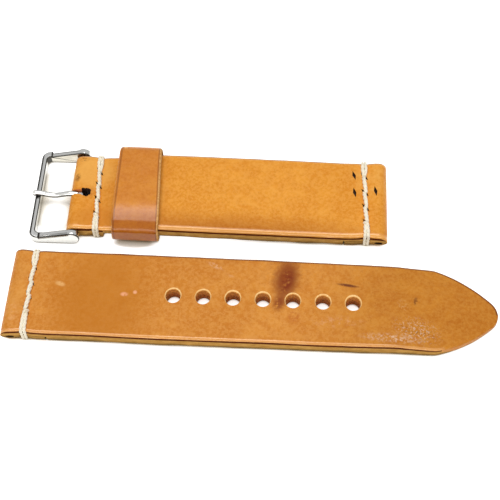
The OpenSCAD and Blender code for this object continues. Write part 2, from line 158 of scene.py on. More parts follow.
def cutAway(piece, cutters):
    # all cutters are joined, so one Boolean does the work
    workOn(cutters[0])
    for cutter in cutters:
        cutter.select_set(True)
    if len(cutters) > 1:
        bpy.ops.object.join()
    tool = bpy.context.active_object
    useModifier(piece, "BOOLEAN", operation="DIFFERENCE", solver="EXACT", object=tool,
                material_mode="TRANSFER")
    bpy.data.objects.remove(tool)


def rodCutter(start, end, radius, sides=32, material=None):
    start, end = Vector(start), Vector(end)
    bpy.ops.mesh.primitive_cylinder_add(vertices=sides, radius=radius, depth=(end - start).length,
                                        location=(start + end) / 2)
    rod = takeUp("cutter")
    rod.rotation_euler = (end - start).to_track_quat("Z", "Y").to_euler()
    if material:
        rod.data.materials.append(material)
    return rod


def boxCutter(low, high, material=None):
    low, high = Vector(low), Vector(high)
    bpy.ops.mesh.primitive_cube_add(size=1, location=(low + high) / 2)
    box = takeUp("cutter")
    box.scale = high - low
    if material:
        box.data.materials.append(material)
    return box


def putInPlace(piece, place, body, slotName, *replaced):
    # shrinks the piece to metres, moves it into the frame and hands it to its body
    workOn(piece)
    piece.matrix_world = place @ millimetre
    bpy.context.view_layer.update()
    bpy.ops.object.transform_apply(location=True, rotation=True, scale=True)
    if place.determinant() < 0:
        edit()
        faceOutward()
        leave()
    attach(piece, body)
    if replaced:
        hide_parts(*replaced)
    print(piece.name, "placed on", body, "with", len(piece.data.polygons), "faces")


# Materials, all procedural and read in object space.

class Shader:
    # the node tree of a material or of the world, with short ways to add nodes
    def __init__(self, name, kind="materials", surface="Principled BSDF"):
        self.owner = getattr(bpy.data, kind).new(name)
        self.owner.use_nodes = True
        self.tree = self.owner.node_tree
        self.surface = self.tree.nodes[surface]
        self.place = self.add("ShaderNodeTexCoord").outputs["Object"]

    def fix(self, constants, node=None):
        for name, value in constants.items():
            (node or self.surface).inputs[name].default_value = value

    def add(self, kind, **settings):
        node = self.tree.nodes.new(kind)
        for key, value in settings.items():
            setattr(node, key, value)
        return node

    def link(self, source, socket):
        if isinstance(source, bpy.types.NodeSocket):
            self.tree.links.new(source, socket)
        else:
            socket.default_value = source

    def give(self, source, socket="Base Color"):
        self.link(source, self.surface.inputs[socket])

    def noise(self, scale, detail, roughness, stretch=None):
        node = self.add("ShaderNodeTexNoise")
        self.fix({"Scale": scale, "Detail": detail, "Roughness": roughness}, node)
        self.link(self.shape(stretch) if stretch else self.place, node.inputs["Vector"])
        return node.outputs["Fac"]

    def shape(self, stretch=(1, 1, 1), centre=(0, 0, 0), turn=0):
        # pattern space: measured from the centre in units of stretch, turned about Z
        node = self.add("ShaderNodeMapping", vector_type="TEXTURE")
        self.fix({"Location": centre, "Rotation": (0, 0, math.radians(turn)), "Scale": stretch}, node)
        self.link(self.place, node.inputs["Vector"])
        return node.outputs["Vector"]

    def cells(self, scale):
        node = self.add("ShaderNodeTexVoronoi")
        self.fix({"Scale": scale}, node)
        self.link(self.place, node.inputs["Vector"])
        return node.outputs["Distance"]

    def ramp(self, value, low, high, start=0.0, end=1.0):
        node = self.add("ShaderNodeMapRange", interpolation_type="SMOOTHSTEP")
        self.link(value, node.inputs["Value"])
        self.fix({"From Min": low, "From Max": high, "To Min": start, "To Max": end}, node)
        return node.outputs["Result"]

    def join(self, kind, output, *shaders, amount=None):
        # joins two shaders and hands them to the output
        node = self.add(kind)
        sources = ([] if amount is None else [amount]) + [shader.outputs[0] for shader in shaders]
        for source, socket in zip(sources, node.inputs):
            self.link(source, socket)
        self.link(node.outputs[0], self.tree.nodes[output].inputs["Surface"])

    def sum(self, a, b, operation="ADD"):
        node = self.add("ShaderNodeMath", operation=operation)
        self.link(a, node.inputs[0])
        self.link(b, node.inputs[1])
        return node.outputs[0]

    def times(self, a, b):
        return self.sum(a, b, "MULTIPLY")

    def blend(self, amount, a, b, mode="MIX"):
        node = self.add("ShaderNodeMix", data_type="RGBA", blend_type=mode)
        self.link(amount, node.inputs["Factor"])
        self.link(a, node.inputs[6])
        self.link(b, node.inputs[7])
        return node.outputs[2]

    def patch(self, onPiece, centre, size, turn=0, soft=0.5):
        # 1 inside a soft ellipse on the piece, 0 outside
        node = self.add("ShaderNodeVectorMath", operation="LENGTH")
        place = onPiece @ Vector((centre[0] * 0.001, centre[1] * 0.001, 0.003))
        self.link(self.shape((size[0] * 0.001, size[1] * 0.001, 0.05), place, turn), node.inputs[0])
        return self.ramp(node.outputs["Value"], 1.0, soft)

    def attribute(self, name):
        node = self.add("ShaderNodeAttribute", attribute_name=name)
        return node.outputs["Fac"]

    def relief(self, height, distance, strength):
        # bends the light on the surface
        node = self.add("ShaderNodeBump")
        self.fix({"Distance": distance, "Strength": strength}, node)
        self.link(height, node.inputs["Height"])
        self.give(node.outputs["Normal"], "Normal")


def colour(r, g, b):
    # a colour as picked on screen, 0 to 255, made linear for a socket
    return tuple(c / 255 / 12.92 if c <= 10 else ((c / 255 + 0.055) / 1.055) ** 2.4 for c in (r, g, b)) + (1.0,)


def mark(at, size, tint, strength, turn=0, soft=0.3, grit=0, low=0.40, high=0.62):
    # a rub, stain or scuff: its place and half size on the piece, its colour and strength, its turn, how far in
    # its rim fades, and the scale and levels of the noise that breaks it up
    return {"at": at, "size": size, "colour": colour(*tint), "strength": strength, "turn": turn, "soft": soft,
            "grit": grit, "low": low, "high": high, "mode": "MIX"}


def zone(at, size, shares, soft):
    # a part of the piece that keeps these shares of its red, green and blue
    return dict(mark(at, size, (0, 0, 0), 1.0, 0, soft), colour=(*shares, 1), mode="MULTIPLY")


def grainLeather(name, look, onPiece):
    s = Shader(name)
    broad = s.ramp(s.noise(60, 4, 0.6), 0.36, 0.64)
    middle = s.ramp(s.noise(330, 5, 0.62), 0.36, 0.64)
    fine = s.ramp(s.noise(1250, 4, 0.65), 0.38, 0.62)
    tone = s.blend(broad, look["dark"], look["light"])
    tone = s.blend(s.times(middle, 0.6), tone, look["warm"])
    tone = s.blend(s.times(fine, look["speckle"]), tone, look["pale"])
    pores = s.ramp(s.cells(1700), 0.22, 0.05)
    tone = s.blend(s.times(pores, 0.35), tone, look["deep"])
    # long faint creases and rubbed lines
    rubbed = s.ramp(s.noise(420, 4, 0.7, stretch=(7.0, 0.5, 1.0)), 0.60, 0.72)
    tone = s.blend(s.times(rubbed, look["rubbed"]), tone, look["pale"])
    for spot in look["marks"]:
        area = s.patch(onPiece, spot["at"], spot["size"], spot["turn"], spot["soft"])
        if spot["grit"]:
            area = s.times(area, s.ramp(s.noise(spot["grit"], 4, 0.7), spot["low"], spot["high"]))
        tone = s.blend(s.times(area, spot["strength"]), tone, spot["colour"], spot["mode"])
    rim = s.attribute("rimNear")
    # the rims are paler, partly from rubbing and partly as a painted highlight
    tone = s.blend(s.times(s.ramp(rim, 0.2, 0.65), look["rimRubAndHighlight"]), tone, look["pale"])
    # painted shade: a dark line along the far rim, and on the loop along its crease
    tone = s.blend(s.times(s.ramp(s.attribute("paintedRimShade"), 0.35, 0.8), look["rimShade"]), tone, look["deep"])
    s.give(tone)
    rough = s.ramp(s.noise(700, 4, 0.6), 0.3, 0.7, look["rough"] - 0.06, look["rough"] + 0.07)
    rough = s.sum(rough, s.times(rim, look["rimPolish"]), "SUBTRACT")
    s.give(rough, "Roughness")
    s.fix({"Specular IOR Level": look["gloss"], "Specular Tint": look["shine"],
           "Coat Weight": look["wax"], "Coat Roughness": look["waxRough"]})
    height = s.sum(s.times(s.noise(2300, 4, 0.65), 0.5), s.times(s.noise(500, 4, 0.6), 0.9))
    height = s.sum(height, s.times(pores, -0.35))
    s.relief(height, 0.00009, look["relief"])
    return s.owner


def cutEdge(name, look):
    # raw edge: dark burnished line under the rim, then fibres, with painted shade darkening them towards the
    # table
    s = Shader(name)
    fibres = s.noise(1500, 5, 0.7, stretch=(4.0, 1.0, 0.7))
    wander = s.ramp(s.noise(160, 3, 0.5), 0.3, 0.7, -0.07, 0.07)
    level = s.sum(s.attribute("edgeHeight"), wander)
    tone = s.blend(s.ramp(fibres, 0.35, 0.65), look["fibreDark"], look["fibreLight"])
    # painted shade: the edge darkens towards the table
    tone = s.blend(s.ramp(level, 0.5, 0.12), tone, look["low"])
    burnished = s.ramp(s.attribute("edgeHeight"), look["lineFrom"], look["lineFrom"] + 0.06)
    tone = s.blend(burnished, tone, look["line"])
    s.give(tone)
    s.fix({"Roughness": 0.8, "Specular IOR Level": 0.06})
    s.relief(fibres, 0.00022, 0.8)
    return s.owner


def fleshSide(name, look):
    s = Shader(name)
    nap = s.noise(1900, 5, 0.7)
    tone = s.blend(s.ramp(nap, 0.35, 0.65), look["napDark"], look["napLight"])
    tone = s.blend(s.times(s.ramp(s.noise(120, 4, 0.6), 0.45, 0.7), 0.4), tone, look["napWorn"])
    s.give(tone)
    s.fix({"Roughness": 0.9, "Sheen Weight": 0.15, "Specular IOR Level": 0.15})
    s.relief(nap, 0.0002, 0.7)
    return s.owner


def plainCut(name, tint, deep):
    # walls of holes and slits
    s = Shader(name)
    fibres = s.noise(1800, 4, 0.65, stretch=(1.0, 1.0, 0.5))
    s.give(s.blend(s.ramp(fibres, 0.3, 0.7), deep, tint))
    s.fix({"Roughness": 0.7, "Specular IOR Level": 0.25})
    s.relief(fibres, 0.0001, 0.6)
    return s.owner


def waxedThread():
    s = Shader("waxed thread")
    fibres = s.noise(5200, 4, 0.6)
    tone = s.blend(s.ramp(fibres, 0.3, 0.7), colour(240, 226, 194), colour(255, 250, 236))
    tone = s.blend(s.times(s.ramp(s.noise(450, 4, 0.6), 0.5, 0.75), 0.35), tone, colour(206, 176, 122))
    s.give(tone)
    s.fix({"Roughness": 0.55, "Specular IOR Level": 0.35, "Sheen Weight": 0.1})
    s.relief(fibres, 0.00006, 0.7)
    return s.owner


def steel(name, tint, rough, brushed):
    s = Shader(name)
    wear = s.noise(900, 4, 0.6)
    worn = [c * 0.94 for c in tint[:3]] + [1]
    s.give(s.blend(s.ramp(wear, 0.3, 0.7), tint, worn))
    s.fix({"Metallic": 1.0})
    s.give(s.ramp(wear, 0.3, 0.75, rough, rough + 0.05), "Roughness")
    lines = s.noise(1300, 4, 0.6, stretch=(0.35, 3.0, 1.0))
    s.relief(lines, 0.00002, brushed)
    return s.owner


shortLook = {
    "light": colour(233, 154, 52), "dark": colour(221, 140, 38), "warm": colour(214, 129, 30),
    "pale": colour(244, 176, 84), "deep": colour(128, 62, 12), "shine": colour(255, 226, 180),
    "speckle": 0.42, "rubbed": 0.12, "rimRubAndHighlight": 0.35, "rimShade": 0.85, "rimPolish": 0.22, "rough": 0.46,
    "gloss": 0.22, "wax": 0.0, "waxRough": 0.35, "relief": 0.45,
    "marks": [
        # darker along the near edge and at the fold, paler on the two flaps
        zone((42, -13), (64, 9), (0.66, 0.54, 0.44), 0.1),
        mark((40, 13.5), (60, 5), (238, 170, 78), 0.3, grit=300),
        mark((79, 6.5), (8, 7.5), (238, 174, 84), 0.7, soft=0.4),
        mark((76, -8), (9, 5), (206, 124, 34), 0.6, soft=0.3),
        mark((4, 7), (7, 8), (240, 178, 88), 0.5, grit=300),
        # darker spots beside the bar and round the tongue's hole
        mark((83.0, 4.2), (1.1, 1.7), (140, 84, 26), 0.8, grit=1100, low=0.32, high=0.5),
        mark((82.4, 10.4), (2.4, 1.1), (150, 92, 36), 0.8, grit=1300),
        mark((79.6, -0.3), (2.6, 2.4), (188, 116, 50), 0.7, grit=900, low=0.3, high=0.6),
    ],
}
tailLook = {
    "light": colour(215, 139, 52), "dark": colour(202, 124, 38), "warm": colour(194, 113, 30),
    "pale": colour(228, 162, 84), "deep": colour(118, 58, 14), "shine": colour(255, 226, 180),
    "speckle": 0.40, "rubbed": 0.20, "rimRubAndHighlight": 0.35, "rimShade": 0.85, "rimPolish": 0.22, "rough": 0.46,
    "gloss": 0.24, "wax": 0.0, "waxRough": 0.3, "relief": 0.5,
    "marks": [
        # darker towards the tip and beside the seam, paler on the flap
        zone((112, -3), (42, 34), (0.84, 0.80, 0.56), 0.4),
        mark((24, -2), (17, 24), (190, 112, 20), 0.7, soft=0.3),
        mark((3.5, 0), (6, 12), (224, 162, 80), 0.3, grit=260),
        mark((50, 13.5), (60, 5), (190, 112, 34), 0.5, grit=300),
        # dark stain between the fourth and fifth hole
        mark((70.8, 6.2), (4.4, 8.8), (118, 36, 2), 1.0, -9, 0.2, 420, 0.20, 0.46),
        mark((69.2, -0.6), (2.3, 3.6), (126, 46, 10), 0.85, -12, 0.2, 700, 0.28, 0.5),
        mark((70.6, 7.4), (7.5, 7.6), (150, 74, 20), 0.6, -9, 0.1, 500),
        mark((73, -4.6), (2.2, 3.0), (176, 84, 34), 0.5, grit=700),
        # thin dark scratch beyond the last hole but one
        mark((86.3, 5.2), (3.6, 0.6), (104, 48, 26), 0.95, turn=-8, grit=1400, low=0.3, high=0.46),
        # a painted highlight on the fold and a dark nick before the tip
        mark((2.6, -7.0), (2.0, 5.0), (236, 176, 118), 0.5, 4, 0.1, 700),
        mark((103.3, 1.8), (0.7, 1.5), (110, 58, 20), 0.8, turn=-10, grit=1600, low=0.36, high=0.52),
        # whitish scuffs near the tip
        mark((104.0, -6.8), (7.6, 4.6), (118, 76, 36), 0.55, -14, 0.1, 1500, 0.50, 0.64),
        mark((103.6, -6.6), (7.8, 4.8), (232, 206, 180), 0.8, -14, 0.1, 1900, 0.50, 0.66),
        mark((97.5, -9.2), (10.0, 1.7), (236, 206, 176), 0.7, -2, 0.1, 1500, 0.44, 0.62),
        mark((84.0, -5.4), (9.0, 2.4), (222, 160, 112), 0.6, soft=0.1, grit=1000, low=0.46, high=0.64),
        mark((100.0, 0.2), (2.0, 2.6), (216, 164, 104), 0.6, soft=0.1, grit=1500, low=0.48, high=0.62),
        # small pale rubs
        mark((30.0, -0.1), (1.3, 0.8), (242, 170, 128), 0.9, grit=900, low=0.3, high=0.5),
        mark((32.7, 0.6), (0.7, 0.7), (242, 176, 134), 0.9, grit=900, low=0.3, high=0.5),
        mark((13.4, 2.2), (1.8, 0.9), (232, 176, 108), 0.85, turn=-20, grit=900, low=0.3, high=0.5),
        mark((52.4, 9.4), (3.2, 0.9), (228, 172, 124), 0.75, turn=-28, grit=1500, low=0.40, high=0.56),
        mark((56.6, 6.6), (1.6, 0.8), (222, 160, 104), 0.6, turn=-20, grit=1500, low=0.44, high=0.6),
    ],
}
loopLook = {
    "light": colour(214, 134, 36), "dark": colour(203, 121, 28), "warm": colour(196, 110, 24),
    "pale": colour(224, 150, 66), "deep": colour(112, 56, 12), "shine": colour(255, 206, 150),
    "speckle": 0.34, "rubbed": 0.10, "rimRubAndHighlight": 0.0, "rimShade": 0.5, "rimPolish": 0.0, "rough": 0.34,
    "gloss": 0.10, "wax": 0.50, "waxRough": 0.2, "relief": 0.6,
    "marks": [
        # painted shade, darker towards the near wall where less light falls, and a pale dent at the far
        # shoulder
        zone((66, -15.0), (22, 9.0), (0.66, 0.54, 0.22), 0.5),
        mark((70.4, 12.2), (0.6, 0.7), (242, 180, 92), 0.9, soft=0.6),
    ],
}
# low is the painted shade at the foot of the raw edge
edgeLook = {
    "fibreLight": colour(208, 160, 86), "fibreDark": colour(170, 120, 54), "low": colour(116, 90, 48),
    "line": colour(84, 30, 0), "lineFrom": 0.63,
}
tailEdgeLook = dict(edgeLook, fibreLight=colour(208, 158, 84), fibreDark=colour(178, 128, 58),
                    low=colour(112, 88, 44), lineFrom=0.70)
fleshLook = {"napLight": colour(204, 164, 108), "napDark": colour(170, 124, 72), "napWorn": colour(146, 98, 52)}

shortGrain = grainLeather("short piece grain", shortLook, onShort)
tailGrain = grainLeather("tail grain", tailLook, onTail)
loopGrain = grainLeather("loop grain", loopLook, onShort)
# polished rims: glossier, and paler from rubbing and from a painted highlight
rimGlossAndPaintedHighlight = {"gloss": 0.6, "rough": 0.40, "wax": 0.6, "waxRough": 0.26, "rimRubAndHighlight": 0.5}
shortRim = grainLeather("short piece rim", dict(shortLook, **rimGlossAndPaintedHighlight), onShort)
tailRim = grainLeather("tail rim", dict(tailLook, **rimGlossAndPaintedHighlight), onTail)
rawEdge = cutEdge("raw leather edge", edgeLook)
tailEdge = cutEdge("raw tail edge", tailEdgeLook)
flesh = fleshSide("flesh side", fleshLook)
punchedWall = plainCut("punched wall", colour(232, 158, 70), colour(170, 100, 34))
# painted highlight: the pressed rims of the holes are pale where they would catch the light
paintedHighlightRim = plainCut("pressed rim", colour(255, 216, 150), colour(240, 184, 110))
slotWall = plainCut("slot wall", colour(240, 150, 84), colour(204, 104, 48))
# painted shade: the walls of slits, tunnels, ply lines and the torn hole are near black
shadedSlitWall = plainCut("awl slit in painted shade", colour(56, 28, 12), colour(26, 12, 4))
thread = waxedThread()
polished = steel("polished steel", colour(222, 221, 216), 0.08, 0.25)
# painted reflections: darker and paler steel colours that stand in for what the polished faces would mirror
darkReflectionSteel = steel("steel with painted dark reflection", colour(74, 72, 68), 0.2, 0.25)
greyReflectionSteel = steel("steel with painted grey reflection", colour(184, 184, 182), 0.14, 0.25)
paleReflectionSteel = steel("steel with painted pale reflection", colour(206, 202, 190), 0.12, 0.25)
turned = steel("turned steel", colour(206, 207, 210), 0.2, 0.5)
drawn = steel("drawn wire", colour(190, 190, 192), 0.25, 0.4)
print("materials made")

# Shapes of the two leather pieces, measured from the lug fold on.

sewing = {"trench": 0.14, "dent": 0.26}
# each row: its place along the piece at the far and at the near edge, its awl holes across, and how they turn
tailRow = {"far": 5.95, "near": 5.95, "awls": (-6.0, -1.6, 2.45, 7.0), "turn": 38}
lugRow = {"far": 6.2, "near": 5.5, "awls": (-7.6, -2.8, 2.0, 7.3), "turn": -38}
buckleRow = {"far": 77.5, "near": 76.5, "awls": (-7.2, -2.4, 2.1, 6.6), "turn": -38}
# awl marks left without thread beside the lug seam of the buckle piece: place and turn
pricks = ((8.8, 7.6, -14), (8.65, 1.95, -10), (3.1, 2.5, -8))
tailCut = {
    "lugHalf": 12.0, "tipHalf": 11.55, "leather": 4.4, "fold": 2.35, "flap": 11.3, "row": 5.9,
    "shoulder": 108.3, "tipRadius": 35.8, "noseRadius": 4.5, "tipLength": 17.5, "bore": 1.1,
    "noseThick": 1.6, "pared": 26.0, "rim": 0.5, "holes": 7, "firstHole": 42.4, "holePitch": 7.55,
    "holeWidth": 3.8,
}
shortCut = {
    "lugHalf": 12.0, "buckleHalf": 11.85, "leather": 4.4, "fold": 2.35, "flap": 11.3, "row": 5.9,
    "length": 84.5, "buckleRow": 7.4, "buckleFlap": 10.0, "pared": 2.2, "loopFrom": 60.8,
    "rampFrom": 12.0, "rim": 0.85, "bore": 1.1, "barBore": 0.95,
    "slotAcross": 0.76, "slotReach": 2.7, "tongueSide": -0.4,
}
chord = math.hypot(tailCut["tipLength"], tailCut["tipHalf"])
sagitta = math.sqrt(tailCut["tipRadius"] ** 2 - chord ** 2 / 4)
arcX = tailCut["shoulder"] + tailCut["tipLength"] / 2 - sagitta * tailCut["tipHalf"] / chord
arcY = tailCut["tipHalf"] / 2 - sagitta * tailCut["tipLength"] / chord
noseX = arcX + math.sqrt((tailCut["tipRadius"] - tailCut["noseRadius"]) ** 2 - arcY ** 2)
noseJoin = arcX + (noseX - arcX) * tailCut["tipRadius"] / (tailCut["tipRadius"] - tailCut["noseRadius"])
tailEnd = noseX + tailCut["noseRadius"]
noseSpread = -arcY / (noseX - arcX)
slopeTan = math.tan(math.radians(layout["slope"]))
pivotU = shortCut["length"] - shortCut["fold"]
buckleFlapU = shortCut["length"] - shortCut["buckleFlap"]


def bow(x, long):
    return layout["bow"] * math.sin(math.pi * min(1, x / long))


# the outline swells at the lug end and is drawn in at each seam
outline = {"lugSwell": 0.2, "seamBite": 0.3, "seamWide": 1.3}


def seamBite(x, row):
    return outline["seamBite"] * bump(x - row, outline["seamWide"])


def lugSwell(x, row):
    return outline["lugSwell"] * (1 - ease(x / row))


def tailHalf(x):
    if x >= noseJoin:
        return math.sqrt(max(0.02, tailCut["noseRadius"] ** 2 - (x - noseX) ** 2))
    if x >= tailCut["shoulder"]:
        return arcY + math.sqrt(tailCut["tipRadius"] ** 2 - (x - arcX) ** 2)
    straight = mix(tailCut["lugHalf"], tailCut["tipHalf"], x / tailCut["shoulder"])
    return (straight + bow(x, tailCut["shoulder"]) + lugSwell(x, tailCut["row"])
            - seamBite(x, tailCut["row"]))


def tailLow(x):
    return tailCut["fold"] - roundIn(x, tailCut["fold"])


def tailHigh(x):
    if x < tailCut["fold"]:
        return tailCut["fold"] + roundIn(x, tailCut["fold"])
    pared = max(0, x - tailEnd + tailCut["pared"]) / tailCut["pared"]
    beyondFold = ease((x - tailCut["fold"]) / (tailCut["flap"] - tailCut["fold"]))
    return (mix(2 * tailCut["fold"], tailCut["leather"], beyondFold)
            - (tailCut["leather"] - tailCut["noseThick"]) * pared)


def lift(u):
    return max(0, u - shortCut["rampFrom"]) * slopeTan


def shortHalf(u):
    straight = mix(shortCut["lugHalf"], shortCut["buckleHalf"], u / shortCut["length"])
    return (straight + bow(u, shortCut["length"]) + lugSwell(u, shortCut["row"]) - seamBite(u, shortCut["row"])
            - seamBite(u, shortCut["length"] - shortCut["buckleRow"]))


def shortLow(u):
    if u < shortCut["fold"]:
        return shortCut["fold"] - roundIn(u, shortCut["fold"])
    if u < buckleFlapU:
        return lift(u)
    return shortCut["fold"] - roundIn(shortCut["length"] - u, shortCut["fold"])


def shortHigh(u):
    paredTop = lift(buckleFlapU) + shortCut["pared"]
    if u < shortCut["fold"]:
        return shortCut["fold"] + roundIn(u, shortCut["fold"])
    if u < shortCut["loopFrom"]:
        return lift(u) + mix(2 * shortCut["fold"], shortCut["leather"],
                             ease((u - shortCut["fold"]) / (shortCut["flap"] - shortCut["fold"])))
    if u < buckleFlapU:
        return mix(lift(shortCut["loopFrom"]) + shortCut["leather"], paredTop,
                   ease((u - shortCut["loopFrom"]) / (buckleFlapU - shortCut["loopFrom"])))
    if u < pivotU:
        return mix(paredTop, 2 * shortCut["fold"], ease((u - buckleFlapU) / (pivotU - buckleFlapU)))
    return shortCut["fold"] + roundIn(shortCut["length"] - u, shortCut["fold"])


def rowAt(row, v):
    return mix(row["near"], row["far"], (v + 12) / 24)


def rowLines(row):
    return [row + d for d in (-1.6, -1.1, -0.7, -0.35, 0, 0.35, 0.7, 1.1, 1.6)]


def tidyLines(lines, apart):
    # station lines in order, none nearer to the next than apart
    kept = []
    for x in sorted(lines):
        if not kept or x - kept[-1] >= apart:
            kept.append(x)
    return kept


foldLines = [tailCut["fold"] * (1 - math.cos(math.radians(a))) for a in (8, 20, 32, 44, 56, 68, 80, 90)]
tailLines = foldLines + tidyLines(rowLines(tailCut["row"]) + spread(2.9, tailCut["shoulder"] - 0.05, 97), 0.28)
tailLines += spread(tailCut["shoulder"] + 0.05, noseJoin, 17)
tailLines += [mix(noseJoin, tailEnd, math.sin(math.radians(a))) for a in (0, 12, 24, 36, 48, 60, 72, 84)]
shortLines = foldLines + tidyLines(rowLines(shortCut["row"]) + spread(2.9, buckleFlapU - 0.05, 66), 0.28)
shortLines += [buckleFlapU - 0.03, buckleFlapU + 0.03]
shortLines += tidyLines(rowLines(shortCut["length"] - shortCut["buckleRow"])
                        + spread(buckleFlapU + 0.4, pivotU, 8), 0.28)
shortLines += [shortCut["length"] - x for x in reversed(foldLines)]

# places of the rows across, as shares of the half width; the outer ones round the rim
acrossRows = [0, 0.09, 0.18, 0.27, 0.36, 0.45, 0.54, 0.63, 0.72, 0.80, 0.87, 0.93, 0.957, 0.976, 0.991, 1]
acrossRows = [-s for s in reversed(acrossRows[1:])] + acrossRows


# what the hand and the years did to both pieces: how far the lines sway, the outline and the raw edge wander,
# the top is domed and rippled, and how the underside is chamfered and drawn in under a seam; and where the
# painted shade along the far rim starts and how far in it reaches
hand = {"sway": 0.10, "wander": 0.07, "edgeWander": 0.10, "dome": 0.12, "ripple": 0.13, "rippleSize": 7.0,
        "chamfer": 0.8, "chamferShare": 5.5, "drawnIn": 0.5, "shadedRimFrom": 0.3, "shadedRimOver": 0.75,
        "swayBetween": (14, 100), "domeFrom": 3, "domeOver": 9}


def leatherBlank(name, lines, half, low, high, rim, rowsOfSewing, seed, grain, edge, rimGrain):
    wander = hand["wander"]
    swayFrom, swayTo = hand["swayBetween"]
    # a grid as large as the piece seen from above, its lines drawn in to the outline
    bpy.ops.mesh.primitive_grid_add(x_subdivisions=len(lines) - 1, y_subdivisions=len(acrossRows) - 1, size=2)
    piece = takeUp(name)
    addSlots(piece, grain, edge, flesh, rimGrain)
    startX = sorted({round(v.co.x, 5) for v in piece.data.vertices})
    startY = sorted({round(v.co.y, 5) for v in piece.data.vertices})
    edit()
    shift = 1000.0
    for place, row in zip(startY, acrossRows):
        pick(piece, lambda co: abs(co.y - place) < 1e-4)
        bpy.ops.transform.translate(value=(0, row + shift - place, 0))
    selectAll()
    bpy.ops.transform.translate(value=(0, -shift, 0))
    for place, x in zip(startX, lines):
        pick(piece, lambda co: abs(co.x - place) < 1e-4)
        sway = hand["sway"] * noise.noise((x * 0.07, seed, 0.3))
        resize(1, half(x) + wander * noise.noise((x * 0.11, seed, 4.1)), 1, (place, 0, 0))
        bpy.ops.transform.translate(value=(x + shift - place, sway if swayFrom < x < swayTo else 0, 0))
    selectAll()
    bpy.ops.transform.translate(value=(-shift, 0, 0))
    # thickness, in four steps so that the raw edge has rows of its own
    edgeRows = 4
    for step in range(edgeRows):
        drawOut(0, 0, -1)
    faceOutward()
    # the sides take the raw edge, the underside the flesh, and the fold keeps the grain
    paintFaces(piece, 1, lambda centre, normal: abs(normal.z) < 0.5)
    paintFaces(piece, 2, lambda centre, normal: normal.z < -0.5 and shownFlesh(name, centre.x))
    paintFaces(piece, 0, lambda centre, normal: abs(normal.x) > 0.9 and centre.x < 50)
    leave()
    # outline of the piece, to measure how near the rim a point lies
    rimPoints = [Vector((x, half(x), 0)) for x in lines]
    for v in piece.data.vertices:
        x, y, level = v.co.x, v.co.y, -v.co.z / edgeRows
        depth = rim * 2
        if abs(y) > half(x) - rim * 2.2 or x > tailEnd - rim * 2:
            point = Vector((x, abs(y), 0))
            near = [i for i, q in enumerate(rimPoints) if abs(q.x - x) < 4]
            for start, end in ((rimPoints[i], rimPoints[i + 1]) for i in near[:-1]):
                hit, share = intersect_point_line(point, start, end)
                depth = min(depth, (point - start.lerp(end, min(1, max(0, share)))).length)
        thick = high(x) - low(x)
        r = min(rim, thick / 2 - 0.05)
        domed = hand["dome"] * max(0, (abs(y) - hand["domeFrom"]) / hand["domeOver"]) ** 2
        top = high(x) - (r - roundIn(min(depth, r), r)) - domed
        uneven = 1 + 0.5 * noise.noise((x * 0.16, seed + 7.7, math.copysign(1, y)))
        chamfer = min(hand["chamfer"], thick / hand["chamferShare"]) * uneven
        bottom = low(x) + max(0, chamfer - depth)
        for row in rowsOfSewing:
            away = x - rowAt(row, y)
            top -= sewing["trench"] * bump(away, 0.75)
            if abs(y) < 12.2:
                bottom += hand["drawnIn"] * bump(away, 0.6)
            for hole in row["awls"]:
                top -= sewing["dent"] * bump(away, 0.6) * bump(y - hole, 0.7)
        if level <= 0.01:
            v.co.z = top
        elif level >= 0.99:
            v.co.z = bottom
        else:
            v.co.z = mix(high(x) - r, low(x) + chamfer, (level - 0.25) / 0.5)
            v.co.y += math.copysign(hand["edgeWander"] * noise.noise((x * 0.5, level * 6, seed)), y)
    return piece


def shownFlesh(name, x):
    if x < tailCut["flap"]:
        return False
    return name == "tailLeather" or x < buckleFlapU


def painted(piece, *names):
    # numbers kept at each corner of the mesh, for the materials to read
    for name in names:
        piece.data.attributes.new(name, "FLOAT", "POINT")
    return [piece.data.attributes[name] for name in names]


def finishLeather(piece, low, high, half, cutters, rim):
    useModifier(piece, "SUBSURF", levels=1, render_levels=1)
    ripple = bpy.data.textures.new(piece.name + "Ripple", "CLOUDS")
    ripple.noise_scale = hand["rippleSize"]
    ripple.noise_depth = 2
    skin = piece.vertex_groups.new(name="skin")
    skin.add([v.index for v in piece.data.vertices
              if v.co.z > low(min(v.co.x, tailEnd)) + 0.9], 1.0, "REPLACE")
    useModifier(piece, "DISPLACE", texture=ripple, texture_coords="LOCAL", strength=hand["ripple"],
                mid_level=0.5, vertex_group="skin")
    cutAway(piece, cutters)
    workOn(piece)
    bpy.ops.object.shade_smooth_by_angle(angle=math.radians(38))
    edgeHeight, rimNear, paintedRimShade = painted(piece, "edgeHeight", "rimNear", "paintedRimShade")
    for i, v in enumerate(piece.data.vertices):
        x, y, z = v.co
        edgeHeight.data[i].value = (z - low(x)) / max(0.3, high(x) - low(x))
        inside = half(x) - abs(y)
        if x > tailCut["shoulder"]:
            inside = tailCut["tipRadius"] - math.hypot(x - arcX, abs(y) - arcY)
        if x > noseX and abs(y) < (x - noseX) * noseSpread:
            inside = tailCut["noseRadius"] - math.hypot(x - noseX, y)
        beyond = ease((x - tailCut["shoulder"]) / 3)
        rimNear.data[i].value = ease(1 - (inside - 0.1) / (rim * 1.6)) * (1 - beyond)
        # painted shade along the far rim only
        dark = ease(1 - (inside - hand["shadedRimFrom"]) / hand["shadedRimOver"])
        paintedRimShade.data[i].value = dark if y > 0 else 0
    # polished faces along the rim, which carry the painted highlight; round the nose the cut edge is burnished
    # like the grain
    for face in piece.data.polygons:
        if face.material_index == 0 and rimNear.data[face.vertices[0]].value > 0.3:
            face.material_index = 3
        beyond = face.center.x - tailCut["shoulder"] - 1.5
        if face.material_index == 1 and beyond > 0 and face.center.z > 0.5 + 1.2 * max(0, 1 - beyond / 3):
            face.material_index = 0


awl = {"long": 3.5, "wide": 1.15, "deep": 1.3, "pricked": (1.05, 0.9)}


